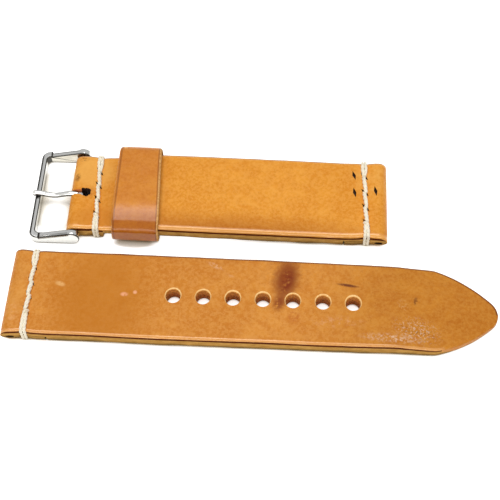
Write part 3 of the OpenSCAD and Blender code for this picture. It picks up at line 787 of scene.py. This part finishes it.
def awlSlit(u, v, top, turn, wide=awl["wide"], deep=awl["deep"]):
    # a lozenge pushed into the leather
    bpy.ops.mesh.primitive_circle_add(vertices=4, radius=1, fill_type="NGON", location=(0, 0, 0))
    slit = takeUp("slit")
    edit()
    bpy.ops.transform.resize(value=(wide / 2, awl["long"] / 2, 1))
    drawOut(0, 0, -deep)
    bpy.ops.transform.resize(value=(0.6, 0.8, 1))
    faceOutward()
    leave()
    slit.data.materials.append(shadedSlitWall)
    slit.rotation_euler.z = math.radians(turn)
    slit.location = (u, v, top + 0.3)
    return slit


def sewnSlits(row, high):
    return [awlSlit(rowAt(row, v), v, high(rowAt(row, v)), row["turn"]) for v in row["awls"]]


# the pressed rim of a hole: how much wider and higher each ring is, all leaning a little to the far side, and
# the height above which the rim takes a painted highlight
punchRings = {"rings": ((1.02, 0.12), (1.05, 0.10), (1.09, 0.12), (1.05, 0.06), (1.2, 0.5)), "lean": 0.07,
              "highlightFrom": 3.14, "below": (1.05, 1.18), "oval": (0.98, 1.06)}


def punchedHole(u, v, top):
    # a punch: straight below, flared where it presses the rim
    bpy.ops.mesh.primitive_cylinder_add(vertices=56, radius=tailCut["holeWidth"] / 2, depth=6,
                                        location=(u, v, top - 3.3))
    punch = takeUp("punch")
    edit()
    pick(punch, lambda centre, normal: normal.z > 0.9, "FACE")
    for out, rise in punchRings["rings"]:
        drawOut(0, punchRings["lean"], rise)
        resize(out, out, 1, (u, v, 0))
    # wider below, where the punch came out, and a little longer across the strap
    pick(punch, lambda co: co.z < -2)
    resize(*punchRings["below"], 1, (u, v, 0))
    selectAll()
    resize(*punchRings["oval"], 1, (u, v, 0))
    addSlots(punch, punchedWall, paintedHighlightRim)
    # the flared top takes the painted highlight
    paintFaces(punch, 1, lambda centre, normal: centre.z > punchRings["highlightFrom"])
    leave()
    return punch


torn = {"radius": 1.35, "wander": 0.34, "grain": 2.3}


def raggedHole(u, v):
    # torn round the tongue: a rod whose corners wander
    rod = rodCutter((u, v, -1), (u, v, 8), torn["radius"], 26, shadedSlitWall)
    for corner in rod.data.vertices:
        angle = math.atan2(corner.co.y, corner.co.x)
        wander = 1 + torn["wander"] * noise.noise((math.cos(angle) * torn["grain"],
                                                   math.sin(angle) * torn["grain"], 5.0))
        corner.co.x *= wander
        corner.co.y *= wander
    return rod


# a fold: how far its leather has sunk on the empty tunnel and how flat the mouth is, the levels and the depth
# of the line between its plies, and the gap at the end of the flap
foldGap = {"sunk": 0.55, "flat": 0.42, "line": (2.0, 2.16), "deep": 0.7, "flapGap": 0.25, "flapTop": 2.15}


def foldCutters(cut, flapEnd):
    # the tunnel, the line between the plies and the end of the flap
    fold, across = cut["fold"], cut["lugHalf"] + 2
    level, deep = fold - foldGap["sunk"], foldGap["deep"]
    low, high = foldGap["line"]
    tunnel = rodCutter((fold, -across, level), (fold, across, level), cut["bore"], 40, shadedSlitWall)
    tunnel.scale.y = foldGap["flat"]
    cutters = [tunnel]
    for side in (-1, 1):
        y = side * cut["lugHalf"]
        cutters.append(boxCutter((2 * fold, y - deep, low), (flapEnd + 0.1, y + deep, high), shadedSlitWall))
    return cutters


def flapEndCutter(cut):
    return boxCutter((cut["flap"], -15, -1), (cut["flap"] + foldGap["flapGap"], 15, foldGap["flapTop"]),
                     shadedSlitWall)


print("cutting the tail")
tailPiece = leatherBlank("tailLeather", tailLines, tailHalf, tailLow, tailHigh, tailCut["rim"], [tailRow],
                         2.3, tailGrain, tailEdge, tailRim)
holePlaces = [tailCut["firstHole"] + i * tailCut["holePitch"] for i in range(tailCut["holes"])]
finishLeather(tailPiece, tailLow, tailHigh, tailHalf,
              [punchedHole(x, 0, tailHigh(x)) for x in holePlaces]
              + foldCutters(tailCut, tailCut["flap"]) + sewnSlits(tailRow, tailHigh), tailCut["rim"])
cutAway(tailPiece, [flapEndCutter(tailCut)])
putInPlace(tailPiece, onTail, "strap", "tail_leather", "tail_strap")

print("cutting the buckle piece")
shortPiece = leatherBlank("shortLeather", shortLines, shortHalf, shortLow, shortHigh, shortCut["rim"],
                          [lugRow, buckleRow], 9.1, shortGrain, rawEdge, shortRim)
slotEnd = pivotU - shortCut["slotReach"] + shortCut["slotAcross"]
tornHole, slot, barHole = [
    raggedHole(slotEnd, shortCut["tongueSide"]),
    boxCutter((slotEnd, shortCut["tongueSide"] - shortCut["slotAcross"], -1),
              (90, shortCut["tongueSide"] + shortCut["slotAcross"], 8), slotWall),
    rodCutter((pivotU, -16, shortCut["fold"]), (pivotU, 16, shortCut["fold"]), shortCut["barBore"], 32,
              shadedSlitWall),
]
finishLeather(shortPiece, shortLow, shortHigh, shortHalf,
              [tornHole] + foldCutters(shortCut, shortCut["flap"]) + sewnSlits(lugRow, shortHigh)
              + sewnSlits(buckleRow, shortHigh)
              + [awlSlit(u, v, shortHigh(u), turn, *awl["pricked"]) for u, v, turn in pricks],
              shortCut["rim"])
for tool in (flapEndCutter(shortCut), slot, barHole):
    cutAway(shortPiece, [tool])
putInPlace(shortPiece, onShort, "strap", "short_leather", "short_strap")

# Sewing.

def smoothRoute(points, steps=7):
    # a soft line through the points, each with its thread radius
    route = []
    count = len(points)
    for i in range(count - 1):
        p0, p1, p2, p3 = (Vector(points[min(count - 1, max(0, i + k))]) for k in (-1, 0, 1, 2))
        for step in range(steps):
            t = step / steps
            route.append(0.5 * (2 * p1 + (p2 - p0) * t + (2 * p0 - 5 * p1 + 4 * p2 - p3) * t ** 2
                                + (3 * p1 - p0 - 3 * p2 + p3) * t ** 3))
    route.append(Vector(points[-1]))
    return route


def layPlies(curve, points, lay=3.6, plies=3, start=0.0):
    # twists the plies of one thread round its route
    route = smoothRoute(points)
    along, side = 0.0, None
    tracks = [[] for ply in range(plies)]
    for i, here in enumerate(route):
        before, after = route[max(0, i - 1)], route[min(len(route) - 1, i + 1)]
        ahead = (after.to_3d() - before.to_3d()).normalized()
        along += (here.to_3d() - before.to_3d()).length
        side = ahead.orthogonal() if side is None else side - ahead * side.dot(ahead)
        side.normalize()
        other = ahead.cross(side)
        for ply, track in enumerate(tracks):
            turn = start + 2 * math.pi * (along / lay + ply / plies)
            out = (side * math.cos(turn) + other * math.sin(turn)) * here.w * 0.46
            track.append((here.to_3d() + out, here.w * 0.60))
    for track in tracks:
        spline = curve.splines.new("POLY")
        spline.points.add(len(track) - 1)
        for point, (place, radius) in zip(spline.points, track):
            point.co = (*place, 1)
            point.radius = radius


def threadPiece(name, routes):
    curve = bpy.data.curves.new(name, "CURVE")
    curve.dimensions = "3D"
    curve.bevel_depth = 1.0
    curve.bevel_resolution = 1
    for i, points in enumerate(routes):
        layPlies(curve, points, start=1.7 * i)
    piece = bpy.data.objects.new(name, curve)
    bpy.context.collection.objects.link(piece)
    workOn(piece)
    bpy.ops.object.convert(target="MESH")
    edit()
    selectAll()
    bpy.ops.mesh.remove_doubles(threshold=0.001)
    bpy.ops.mesh.fill_holes(sides=0)
    bpy.ops.mesh.normals_make_consistent(inside=False)
    leave()
    bpy.ops.object.shade_smooth()
    piece.data.materials.append(thread)
    return piece


def sewnRow(name, row, half, low, high):
    # spindle-shaped stitches between the awl slits, and two strands wrapped round each edge
    middle = rowAt(row, 0)
    top, bottom, edge = high(middle) - 0.02, low(middle), half(middle)
    routes = []

    def lay(points):
        routes.append([(rowAt(row, v) + off, v, z, radius) for off, v, z, radius in points])

    for a, b in zip(row["awls"], row["awls"][1:]):
        for z, out in ((top, 1), (bottom + 0.44, 0)):
            inside = -1 if out else 1
            fat = 1.0 if out else 0.85
            lay([(-0.24, a + 0.02, z + 1.0 * inside, 0.34 * fat),
                 (-0.24, a + 0.06, z + 0.25 * inside, 0.40 * fat),
                 (-0.20, a + 0.45, z + 0.16 * out, 0.49 * fat), (0, (a + b) / 2, z + 0.30 * out, 0.56 * fat),
                 (0.20, b - 0.45, z + 0.16 * out, 0.49 * fat), (0.24, b - 0.06, z + 0.25 * inside, 0.40 * fat),
                 (0.24, b - 0.02, z + 1.0 * inside, 0.34 * fat)])
    for side, last in ((-1, -row["awls"][0]), (1, row["awls"][-1])):
        for strand in (-1, 1):
            wide, near = strand * 0.40, strand * 0.16
            sway = 0.05 * strand * side
            lay([(near, side * last, top - 1.1, 0.28), (near, side * (last + 0.08), top - 0.3, 0.34),
                 (mix(near, wide, 0.45), side * (last + 0.7), top + 0.16, 0.42),
                 (wide + sway, side * mix(last, edge, 0.45), top + 0.26, 0.45),
                 (wide, side * (edge - 1.2), top + 0.22, 0.44),
                 (wide, side * (edge - 0.25), top, 0.43), (wide - sway, side * (edge + 0.13), top - 0.6, 0.42),
                 (wide, side * (edge + 0.2), (top + bottom) / 2, 0.42),
                 (wide, side * (edge + 0.13), bottom + 0.95, 0.42),
                 (wide, side * (edge - 0.3), bottom + 0.47, 0.42),
                 (wide, side * (edge - 1.5), bottom + 0.44, 0.42),
                 (wide, side * (last + 1.2), bottom + 0.44, 0.42),
                 (near, side * (last + 0.2), bottom + 0.8, 0.36), (near, side * last, bottom + 1.6, 0.28)])
    # the near wrap ends in a half hitch
    y = row["awls"][0] - 0.45
    hitch = ((-0.62, -0.25, -0.45, 0.24), (-0.52, -0.22, 0.15, 0.30), (-0.15, -0.05, 0.60, 0.34),
             (0.25, 0.16, 0.58, 0.34), (0.58, 0.30, 0.12, 0.30), (0.66, 0.32, -0.45, 0.24))
    lay([(off, y + across, top + up, radius) for off, across, up, radius in hitch])
    return threadPiece(name, routes)


print("sewing the rows")
putInPlace(sewnRow("tailLugStitches", tailRow, tailHalf, tailLow, tailHigh), onTail, "strap",
           "waxed_thread", "tail_lug_thread")
putInPlace(sewnRow("shortLugStitches", lugRow, shortHalf, shortLow, shortHigh), onShort, "strap",
           "waxed_thread", "short_lug_thread")
putInPlace(sewnRow("buckleRowStitches", buckleRow, shortHalf, shortLow, shortHigh),
           onShort, "strap", "waxed_thread", "buckle_row_thread")

# The free loop.

loopCut = {"from": 60.8, "wide": 11.4, "ply": 1.15, "half": 13.65, "high": 8.3, "corners": (2.2, 3.1),
           "crown": 0.12, "droopFrom": 3.5, "droopOver": 7.0, "droop": 0.28, "aside": 0.12, "band": 0.55,
           "flare": 1.0, "softEdge": 0.42, "ripple": 0.09, "creaseWide": 0.24, "lap": 7.0, "stitchHalf": 2.1,
           "stitchAt": (3.42, 7.98), "lapLine": (0.56, 0.64), "lapDeep": 0.35}
onLoop = (onShort @ Matrix.Translation((loopCut["from"] * 0.001, 0, 0))
          @ Matrix.Rotation(math.radians(-layout["slope"]), 4, "Y"))
# the loop's outline is drawn flat and its width goes up; this stands it across the strap
standUp = Matrix(((0, 0, 1, 0), (1, 0, 0, 0), (0, 1, 0, 0), (0, 0, 0, 1)))


def droop(v):
    # the upper ply bends down to the near side
    reach = max(0, -v - loopCut["droopFrom"]) / loopCut["droopOver"]
    bent = min(1, reach) ** 2.5 / 2.5 + 0.3 * max(0, reach - 1)
    return loopCut["droop"] * loopCut["droopOver"] * bent


def flare(v, along):
    # the loop's lug side stands wider towards the near edge
    nearer = ease((loopCut["half"] - v) / (2 * loopCut["half"]))
    return loopCut["flare"] * ease((1 - along / loopCut["wide"]) * 1.2) * nearer


def makeLoop():
    cut = loopCut
    bpy.ops.mesh.primitive_plane_add(size=2)
    piece = takeUp("loopLeather")
    addSlots(piece, loopGrain, loopEdge, flesh)
    edit()
    bpy.ops.transform.resize(value=(cut["half"], cut["high"] / 2, 1))
    bpy.ops.transform.translate(value=(0, cut["high"] / 2, 0))
    for radius, upper in zip(cut["corners"], (False, True)):
        pick(piece, lambda co: (co.y > cut["high"] / 2) == upper)
        bpy.ops.mesh.bevel(offset=radius, segments=7, affect="VERTICES")
    pick(piece, lambda centre, along: abs(along.x) > cut["half"], "EDGE")
    bpy.ops.mesh.subdivide(number_cuts=15)
    pick(piece, lambda centre, along: abs(along.y) > cut["high"] / 3, "EDGE")
    bpy.ops.mesh.subdivide(number_cuts=3)
    bpy.ops.mesh.select_mode(type="FACE")
    selectAll()
    bpy.ops.mesh.inset(thickness=cut["ply"])
    bpy.ops.mesh.delete(type="FACE")
    selectAll()
    steps = 9
    for step in range(steps):
        drawOut(0, 0, cut["wide"] / steps)
    faceOutward()
    paintFaces(piece, 1, lambda centre, normal: abs(normal.z) > 0.7)
    paintFaces(piece, 2, lambda centre, normal: abs(normal.z) < 0.3 and abs(centre.x) < cut["half"] - 0.9
               and cut["ply"] - 0.05 < centre.y < cut["high"] - cut["ply"] + 0.05)
    leave()
    # the upper ply is crowned across and rounded along, as wet-moulded leather stays
    for v in piece.data.vertices:
        across = (v.co.x / cut["half"]) ** 2
        along = (2 * v.co.z / cut["wide"] - 1) ** 2
        up = ease((v.co.y - cut["high"] / 2) / (cut["high"] / 2))
        v.co.y -= up * (cut["crown"] * across + 0.12 * along + droop(v.co.x))
        bend = min(1, across * 1.15) ** 8
        v.co.z = mix(v.co.z, cut["wide"] / 2, 0.07 * bend * up)
        v.co.z -= flare(v.co.x, v.co.z)
    useModifier(piece, "BEVEL", width=cut["softEdge"], segments=3, limit_method="ANGLE",
                angle_limit=math.radians(60))
    useModifier(piece, "SUBSURF", levels=2, render_levels=2)
    ripple = bpy.data.textures.new("loopRipple", "CLOUDS")
    ripple.noise_scale = 5.0
    useModifier(piece, "DISPLACE", texture=ripple, texture_coords="LOCAL", strength=cut["ripple"],
                mid_level=0.7)
    workOn(piece)
    piece.matrix_world = standUp
    bpy.ops.object.transform_apply(location=True, rotation=True, scale=True)
    # the ends of the lap across, and the line between its plies at both sides
    half, (low, high), deep = cut["lap"] / 2, cut["lapLine"], cut["lapDeep"]
    cutAway(piece, [boxCutter(start, end, shadedSlitWall) for start, end in (
        ((-1, -half - 0.1, 0.9), (12, -half + 0.1, 2)), ((-1, half - 0.1, 0.9), (12, half + 0.1, 2)),
        ((-1, -half, low), (deep, half, high)), ((cut["wide"] - deep, -half, low), (12, half, high)))])
    workOn(piece)
    bpy.ops.object.shade_smooth_by_angle(angle=math.radians(40))
    creaseShade, edgeHeight = painted(piece, "paintedRimShade", "edgeHeight")
    for i, v in enumerate(piece.data.vertices):
        inside = min(v.co.x + flare(v.co.y, 0), cut["wide"] - v.co.x)
        # painted shade: a dark line for a crease beside the pale cut rim, standing in for the shade of its
        # groove
        creaseShade.data[i].value = min(1, 1.5 * bump(inside - cut["band"] - 0.1, cut["creaseWide"]))
        edgeHeight.data[i].value = 0.4 + 0.5 * ease((inside - 0.25) / 0.3)
        v.co.y += cut["aside"]
    for face in piece.data.polygons:
        centre = face.center
        lowest = centre.z < 3.2 and centre.y < 0
        onBand = centre.x + flare(centre.y - cut["aside"], 0) < cut["band"]
        if face.material_index == 0 and (onBand or lowest and centre.x > cut["wide"] - cut["band"] * 0.6):
            face.material_index = 1
    return piece


loopEdge = cutEdge("loop edge", dict(edgeLook, fibreLight=colour(232, 184, 118), fibreDark=colour(196, 138, 74),
                                     low=colour(190, 138, 80), lineFrom=0.95))
print("making the loop")
putInPlace(makeLoop(), onLoop, "loop", "loop_leather", "keeper_loop")
lapRoutes, reach = [], loopCut["stitchHalf"]
for u in loopCut["stitchAt"]:
    for z, inside in ((0.32, 1), (0.88, -1)):
        lapRoutes.append([(u, -reach - 0.1, z + 0.4 * inside, 0.2), (u, -reach, z + 0.1 * inside, 0.24),
                          (u, -reach / 2, z, 0.29), (u, 0, z, 0.29), (u, reach / 2, z, 0.29),
                          (u, reach, z + 0.1 * inside, 0.24), (u, reach + 0.1, z + 0.4 * inside, 0.2)])
putInPlace(threadPiece("lapStitches", lapRoutes), onLoop, "loop", "waxed_thread", "keeper_thread")

# The buckle.

# the soft edge is in metres, because the frame is a copy of the solid
buckle = {"softEdge": 0.00025, "tongueSide": -0.4, "reach": 12.1, "tipOver": 0.55, "frontWide": 1.6,
          "frontTop": 0.35, "shank": 0.72, "eyeBore": 0.95, "eyeWall": 0.6, "eyeHalf": 0.76, "eyeRound": 0.35,
          "dip": 0.95, "narrow": 0.3}
# how far a face has to lean to take the painted reflection of the room's dark, its grey or its white
paintedReflectionLean = {"frameTop": 0.55, "frameInside": -0.5, "tongueUp": 0.34, "tongueNear": -0.3, "tongueFar": 0.62,
          "tongueTop": -0.12}
onBar = onShort @ Matrix.Translation((pivotU * 0.001, 0, shortCut["fold"] * 0.001))


def makeFrame():
    # a merged copy of the CAD frame with its edges polished round
    piece = bpy.data.objects.new("buckleFrame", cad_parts["buckle_frame"].data.copy())
    bpy.context.collection.objects.link(piece)
    workOn(piece)
    edit()
    selectAll()
    bpy.ops.mesh.remove_doubles(threshold=2e-6)
    bpy.ops.mesh.dissolve_limited(angle_limit=math.radians(2))
    leave()
    plain = BVHTree.FromObject(piece, bpy.context.evaluated_depsgraph_get())
    useModifier(piece, "BEVEL", width=buckle["softEdge"], segments=3, limit_method="ANGLE",
                angle_limit=math.radians(24), use_clamp_overlap=False)
    # a bevel across a narrow facet may stick out, so such points go back to the unbevelled surface
    for corner in piece.data.vertices:
        place, facing, nearest, away = plain.find_nearest(corner.co)
        if away > buckle["softEdge"] * 0.5:
            corner.co = place
    piece.data.materials.clear()
    addSlots(piece, polished, darkReflectionSteel, greyReflectionSteel, paleReflectionSteel)
    # painted reflections: the narrow polished-over edges are coloured dark and the tops grey, for the dark and
    # the grey room they would mirror, and the far arm's inner side pale for the table; the outer sides keep the
    # plain polished steel, which mirrors the white table
    corners = piece.data.vertices
    for face in piece.data.polygons:
        around = sum((corners[a].co - corners[b].co).length for a, b in face.edge_keys)
        if face.area < around * buckle["softEdge"] * buckle["narrow"]:
            face.material_index = 1
        elif face.normal.z > paintedReflectionLean["frameTop"]:
            face.material_index = 2
        elif face.normal.y < paintedReflectionLean["frameInside"] and face.center.y > 0.02:
            face.material_index = 3
    bpy.ops.object.shade_smooth_by_angle(angle=math.radians(30))
    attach(piece, "frame")
    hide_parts("buckle_frame")
    print("buckleFrame has", len(piece.data.polygons), "faces")


def shankStations():
    # place along the tongue, height and radius from its root to its tip
    front = buckle["reach"] - buckle["frontWide"] / 2
    tip = buckle["reach"] + buckle["tipOver"]
    root = buckle["eyeBore"] + buckle["eyeWall"] / 2
    rest = buckle["frontTop"] + buckle["shank"] + 0.05
    stations = [(0.0, root, 0.60), (1.2, root - 0.03, 0.66)]
    for i in range(13):
        t = i / 12
        sink = buckle["dip"] * (1 - math.cos(2 * math.pi * t)) / 2
        stations.append((mix(2.35, front, t), mix(root - 0.05, rest, t) - sink, buckle["shank"]))
    for share, drop, radius in ((0.35, 0.03, 0.80), (0.6, 0.09, 0.82), (0.8, 0.16, 0.74), (0.92, 0.21, 0.55),
                                (0.985, 0.24, 0.30)):
        stations.append((mix(front, tip, share), rest - drop, radius))
    return stations


def makeTongue():
    stations = shankStations()
    place, height, radius = stations[0]
    bpy.ops.mesh.primitive_circle_add(vertices=20, radius=radius, fill_type="NGON", location=(place, 0, height),
                                      rotation=(0, math.radians(90), 0))
    piece = takeUp("buckleTongue")
    bpy.ops.object.transform_apply(location=True, rotation=True, scale=True)
    edit()
    selectAll()
    for nextPlace, nextHeight, nextRadius in stations[1:]:
        drawOut(nextPlace - place, 0, nextHeight - height)
        share = nextRadius / radius
        resize(1, share, share, (nextPlace, 0, nextHeight))
        place, height, radius = nextPlace, nextHeight, nextRadius
    faceOutward()
    leave()
    useModifier(piece, "SUBSURF", levels=2, render_levels=2)
    # the eye: a flat wire turned round the bar
    middle = buckle["eyeBore"] + buckle["eyeWall"] / 2
    bpy.ops.mesh.primitive_plane_add(size=2, location=(0, 0, 0))
    eye = takeUp("eye")
    edit()
    bpy.ops.transform.resize(value=(buckle["eyeWall"] / 2, buckle["eyeHalf"], 1))
    bpy.ops.mesh.select_mode(type="VERT")
    bpy.ops.mesh.bevel(offset=buckle["eyeRound"], segments=4, affect="VERTICES")
    selectAll()
    bpy.ops.mesh.delete(type="ONLY_FACE")
    selectAll()
    bpy.ops.transform.translate(value=(middle, 0, 0))
    bpy.ops.mesh.spin(steps=48, angle=2 * math.pi, center=(0, 0, 0), axis=(0, 1, 0))
    selectAll()
    bpy.ops.mesh.remove_doubles(threshold=1e-3)
    faceOutward()
    leave()
    useModifier(piece, "BOOLEAN", operation="UNION", solver="EXACT", object=eye)
    bpy.data.objects.remove(eye)
    cutAway(piece, [rodCutter((0, -3, 0), (0, 3, 0), buckle["eyeBore"], 48)])
    workOn(piece)
    bpy.ops.object.shade_smooth_by_angle(angle=math.radians(35))
    # painted reflections on the round polished rod: a dark line along each side and the grey of the room along
    # its top
    piece.data.materials.clear()
    addSlots(piece, polished, darkReflectionSteel, greyReflectionSteel)
    for face in piece.data.polygons:
        across, up = face.normal.y, face.normal.z
        if (up < paintedReflectionLean["tongueUp"] and across < paintedReflectionLean["tongueNear"]) or across > paintedReflectionLean["tongueFar"]:
            face.material_index = 1
        else:
            face.material_index = 2 if across > paintedReflectionLean["tongueTop"] else 0
    return piece


print("making the buckle")
makeFrame()
putInPlace(makeTongue(), onBar @ Matrix.Translation((0, buckle["tongueSide"] * 0.001, 0)), "tongue",
           "polished_steel", "buckle_tongue")

# Camera, floor and light.

# the camera stands in metres
view = {"location": (0.011307, -0.161280, 0.256472), "turn": (32.3169, 1.0381, 2.7369), "lens": 83.3052}
bpy.ops.object.camera_add(location=view["location"], rotation=[math.radians(a) for a in view["turn"]])
camera = bpy.context.active_object
camera.data.lens = view["lens"]
camera.data.sensor_width = 36
camera.data.clip_start = 0.01
bpy.context.scene.camera = camera

bpy.ops.mesh.primitive_plane_add(size=6, location=(0, 0, 0))
floor = takeUp("floor")
# how far the two shadows reach in metres, how bright the table glows to the camera, and its tones
table = {"contact": 0.0014, "around": 0.005, "glow": 0.8, "shadowGlow": (0.5, 0.40, 0.20, 1),
         "shadow": (0.30, 0.23, 0.11, 1), "open": (0.86, 0.86, 0.84, 1), "ambient": 0.45}
s = Shader("white table")
s.fix({"Roughness": 0.9, "Specular IOR Level": 0.1})
glow = s.add("ShaderNodeEmission")
path = s.add("ShaderNodeLightPath")
shown = s.sum(s.sum(path.outputs["Is Camera Ray"], path.outputs["Is Glossy Ray"]),
              path.outputs["Is Transmission Ray"])
# the table stays white right up to the thin warm shadow where leather meets it
closeBy = s.add("ShaderNodeAmbientOcclusion", samples=16)
s.fix({"Distance": table["contact"]}, closeBy)
openness = s.ramp(closeBy.outputs["AO"], 0.15, 0.6)
around = s.add("ShaderNodeAmbientOcclusion", samples=16)
s.fix({"Distance": table["around"]}, around)
# painted shadow: patches in the buckle's opening and under the loop's near side deepen the shade there
paintedShadowInOpening = s.patch(onShort, (88.5, 0), (7.5, 13.0), 0, 0.75)
paintedShadowUnderLoop = s.patch(onShort, (66.6, -13.4), (7.2, 1.9), 0, 0.5)
shaded = s.times(s.sum(paintedShadowInOpening, paintedShadowUnderLoop, "MAXIMUM"), s.sum(1.0, around.outputs["AO"], "SUBTRACT"))
openness = s.times(openness, s.ramp(shaded, 0.10, 0.6, 1.0, 0.4))
s.link(s.blend(openness, table["shadowGlow"], (1, 1, 1, 1)), glow.inputs["Color"])
s.link(s.times(s.times(shown, openness), table["glow"]), glow.inputs["Strength"])
s.give(s.blend(openness, table["shadow"], table["open"]))
s.join("ShaderNodeAddShader", "Material Output", s.surface, glow)
addSlots(floor, s.owner)

# the world is plain white to the camera and gives less light to the rest
sky = Shader("studio", "worlds", "Background")
bpy.context.scene.world = sky.owner
sky.fix({"Color": (1, 1, 1, 1), "Strength": table["ambient"]})
plain = sky.add("ShaderNodeBackground")
sky.fix({"Color": (1, 1, 1, 1)}, plain)
path = sky.add("ShaderNodeLightPath")
shown = path.outputs["Is Camera Ray"]
for other in ("Is Glossy Ray", "Is Transmission Ray"):
    shown = sky.sum(shown, path.outputs[other], "MAXIMUM")
sky.join("ShaderNodeMixShader", "World Output", sky.surface, plain, amount=shown)


def softLamp(name, place, aim, size, watts):
    bpy.ops.object.light_add(type="AREA", location=place)
    lamp = bpy.context.active_object
    lamp.name = name
    lamp.data.shape = "RECTANGLE"
    lamp.data.size, lamp.data.size_y = size
    lamp.data.energy = watts
    lamp.rotation_euler = (Vector(aim) - Vector(place)).to_track_quat("-Z", "Y").to_euler()


# place and size in metres, and power in watts
lamps = {"overhead": ((-0.05, 0.18, 0.75), (0.5, 0.24), 2.6), "front": ((0.0, -0.75, 0.42), (1.2, 0.18), 3.3)}
for name, (place, size, watts) in lamps.items():
    softLamp(name, place, (0, 0, 0), size, watts)
print("stage lit")
bpy.context.scene.view_settings.view_transform = "Standard"

# the spring bar is carried over from the solids and only gets its steel
barSteel = {"bar_tube": turned, "bar_spring": drawn, "bar_tip_far": turned, "bar_tip_near": turned}
for name, material in barSteel.items():
    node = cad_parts[name]
    node.data.materials.clear()
    addSlots(node, material)
